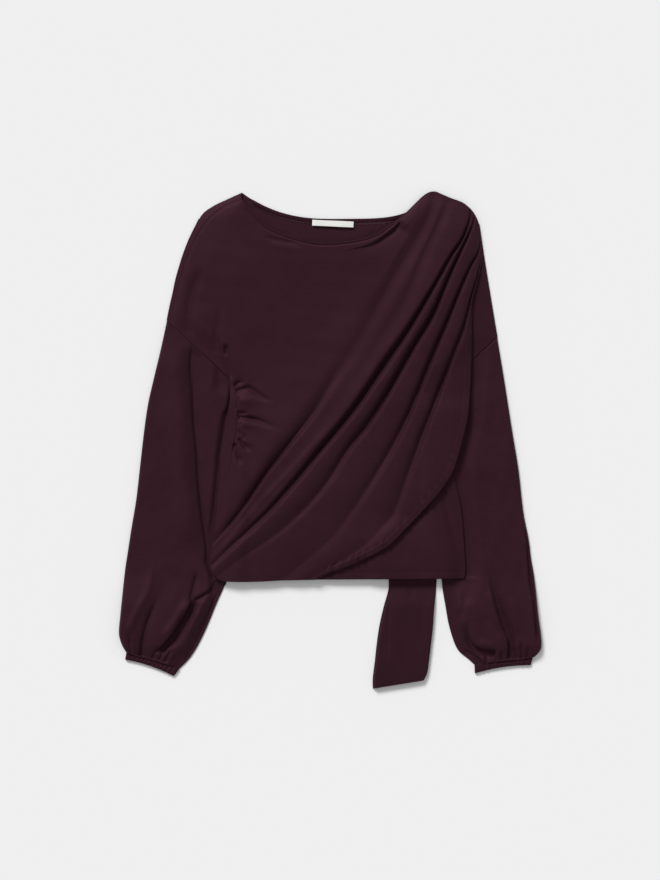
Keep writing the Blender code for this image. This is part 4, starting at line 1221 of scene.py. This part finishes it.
def stitchTree():
    tree = bpy.data.node_groups.new("stitchRun", "GeometryNodeTree")
    socket(tree, "Geometry", "NodeSocketGeometry", "INPUT")
    for name in ("pitch", "length", "width"):
        socket(tree, name.capitalize(), "NodeSocketFloat", "INPUT", stitch[name] * mm)
    socket(tree, "Thread", "NodeSocketMaterial", "INPUT")
    socket(tree, "Geometry", "NodeSocketGeometry", "OUTPUT")
    node = nodeMaker(tree)
    given = node("NodeGroupInput").outputs
    result = node("NodeGroupOutput")
    places = node("GeometryNodeCurveToPoints", {"Curve": given["Geometry"], "Length": given["Pitch"]},
                  mode="LENGTH")
    size = node("ShaderNodeCombineXYZ", {"X": given["Width"], "Y": given["Width"], "Z": given["Length"]})
    bead = node("GeometryNodeMeshIcoSphere", {"Radius": 0.5, "Subdivisions": 1})
    thread = node("GeometryNodeTransform", {"Geometry": bead.outputs["Mesh"], "Scale": size.outputs[0]})
    laid = node("GeometryNodeInstanceOnPoints", {"Points": places.outputs["Points"],
                                                 "Instance": thread.outputs["Geometry"],
                                                 "Rotation": places.outputs["Rotation"]})
    real = node("GeometryNodeRealizeInstances", {"Geometry": laid.outputs["Instances"]})
    finish = node("GeometryNodeSetMaterial", {"Geometry": real.outputs["Geometry"],
                                              "Material": given["Thread"]})
    tree.links.new(finish.outputs["Geometry"], result.inputs["Geometry"])
    return tree


# turns runs of points in millimetres into rows of small stitches
def sewRuns(name, runs, tree, thread=threadMaterial, look=stitch):
    given = {"Thread": thread, "Pitch": look["pitch"] * mm, "Width": look["width"] * mm}
    curve = bpy.data.curves.new(name + "Path", "CURVE")
    curve.dimensions = "3D"
    for run in runs:
        spline = curve.splines.new("POLY")
        spline.points.add(len(run) - 1)
        spline.points.foreach_set("co", np.column_stack([np.asarray(run) * mm, np.ones(len(run))]).ravel())
    path = addObject(name + "Path", curve)
    modifier = path.modifiers.new("stitches", "NODES")
    modifier.node_group = tree
    for item in tree.interface.items_tree:
        if item.name in given:
            modifier[item.identifier] = given[item.name]
    mesh = finishedMesh(path, name)
    bpy.data.objects.remove(path, do_unlink=True)
    place(addObject(name, mesh))


# gives a plan path the height of the nearest point of a grid
def onSurface(points, path, lift):
    grid = points.reshape(-1, 3)
    nearest = [np.argmin((grid[:, 0] - x) ** 2 + (grid[:, 1] - y) ** 2) for x, y in path]
    return np.column_stack([path, grid[nearest, 2] + lift])


# moves a plan path to the left of its run
def insetPath(path, distance):
    step = unit(np.gradient(path, axis=0))
    return path + distance * np.column_stack([-step[:, 1], step[:, 0]])


# seam rolls: the turned cloth that fills the joints between pieces.
# columns: start, end, height

seams = dict(
    radius=0.75, sides=6, points=40,
    runs=dict(
        leftArmholeSeam=((-235.5, 173.4), (-140.3, 84.2), 2.4),
        rightArmholeSeam=((241.5, 148.6), (156, 70.2), 1.5),
        leftCuffSeam=((-294.4, -308.9), (-219, -331.5), 2.6),
        rightCuffSeam=((293.2, -315.6), (210, -325.6), 2.6),
    ),
)


def makeSeam(name, start, end, height):
    t = np.linspace(0, 1, seams["points"])[:, None]
    plan = np.array(start) * (1 - t) + np.array(end) * t
    path = np.column_stack([plan, np.full(len(plan), height)])
    run = unit(np.gradient(path, axis=0))
    side = unit(np.cross(run, (0, 0, 1.0)))
    upward = np.cross(side, run)
    rings = []
    for angle in np.linspace(0, 2 * math.pi, seams["sides"], endpoint=False):
        rings.append(path + seams["radius"] * (math.cos(angle) * side + math.sin(angle) * upward))
    place(sheetPiece(name, np.stack(rings, axis=1), jersey, ring=True, flip=True))


for name, (start, end, height) in seams["runs"].items():
    makeSeam(name, start, end, height)

stitches = stitchTree()
freeHem = smoothCurve(drape["guides"]["freeEdge"]["line"], 10)[8:-6]
freeHem = insetPath(freeHem, stitch["inHem"] - drape["hemBand"])
bottomHem = np.column_stack([np.linspace(*stitch["hemX"], 60), np.full(60, stitch["hemY"])])
hemRuns = [onSurface(drapePoints, path, stitch["lift"]) for path in (freeHem, bottomHem)]
bandRuns = []
for row, first, last in paleStitch["runs"]:
    run = facingRows[row] + (0, 0, paleStitch["lift"])
    bandRuns.append(run[(run[:, 0] > first) & (run[:, 0] < last)])
sewRuns("drapeStitches", hemRuns, stitches)
sewRuns("facingStitches", bandRuns, stitches, paleStreak, paleStitch)
sewRuns("cuffStitches", cuffRuns, stitches)
print("seams and stitches made")
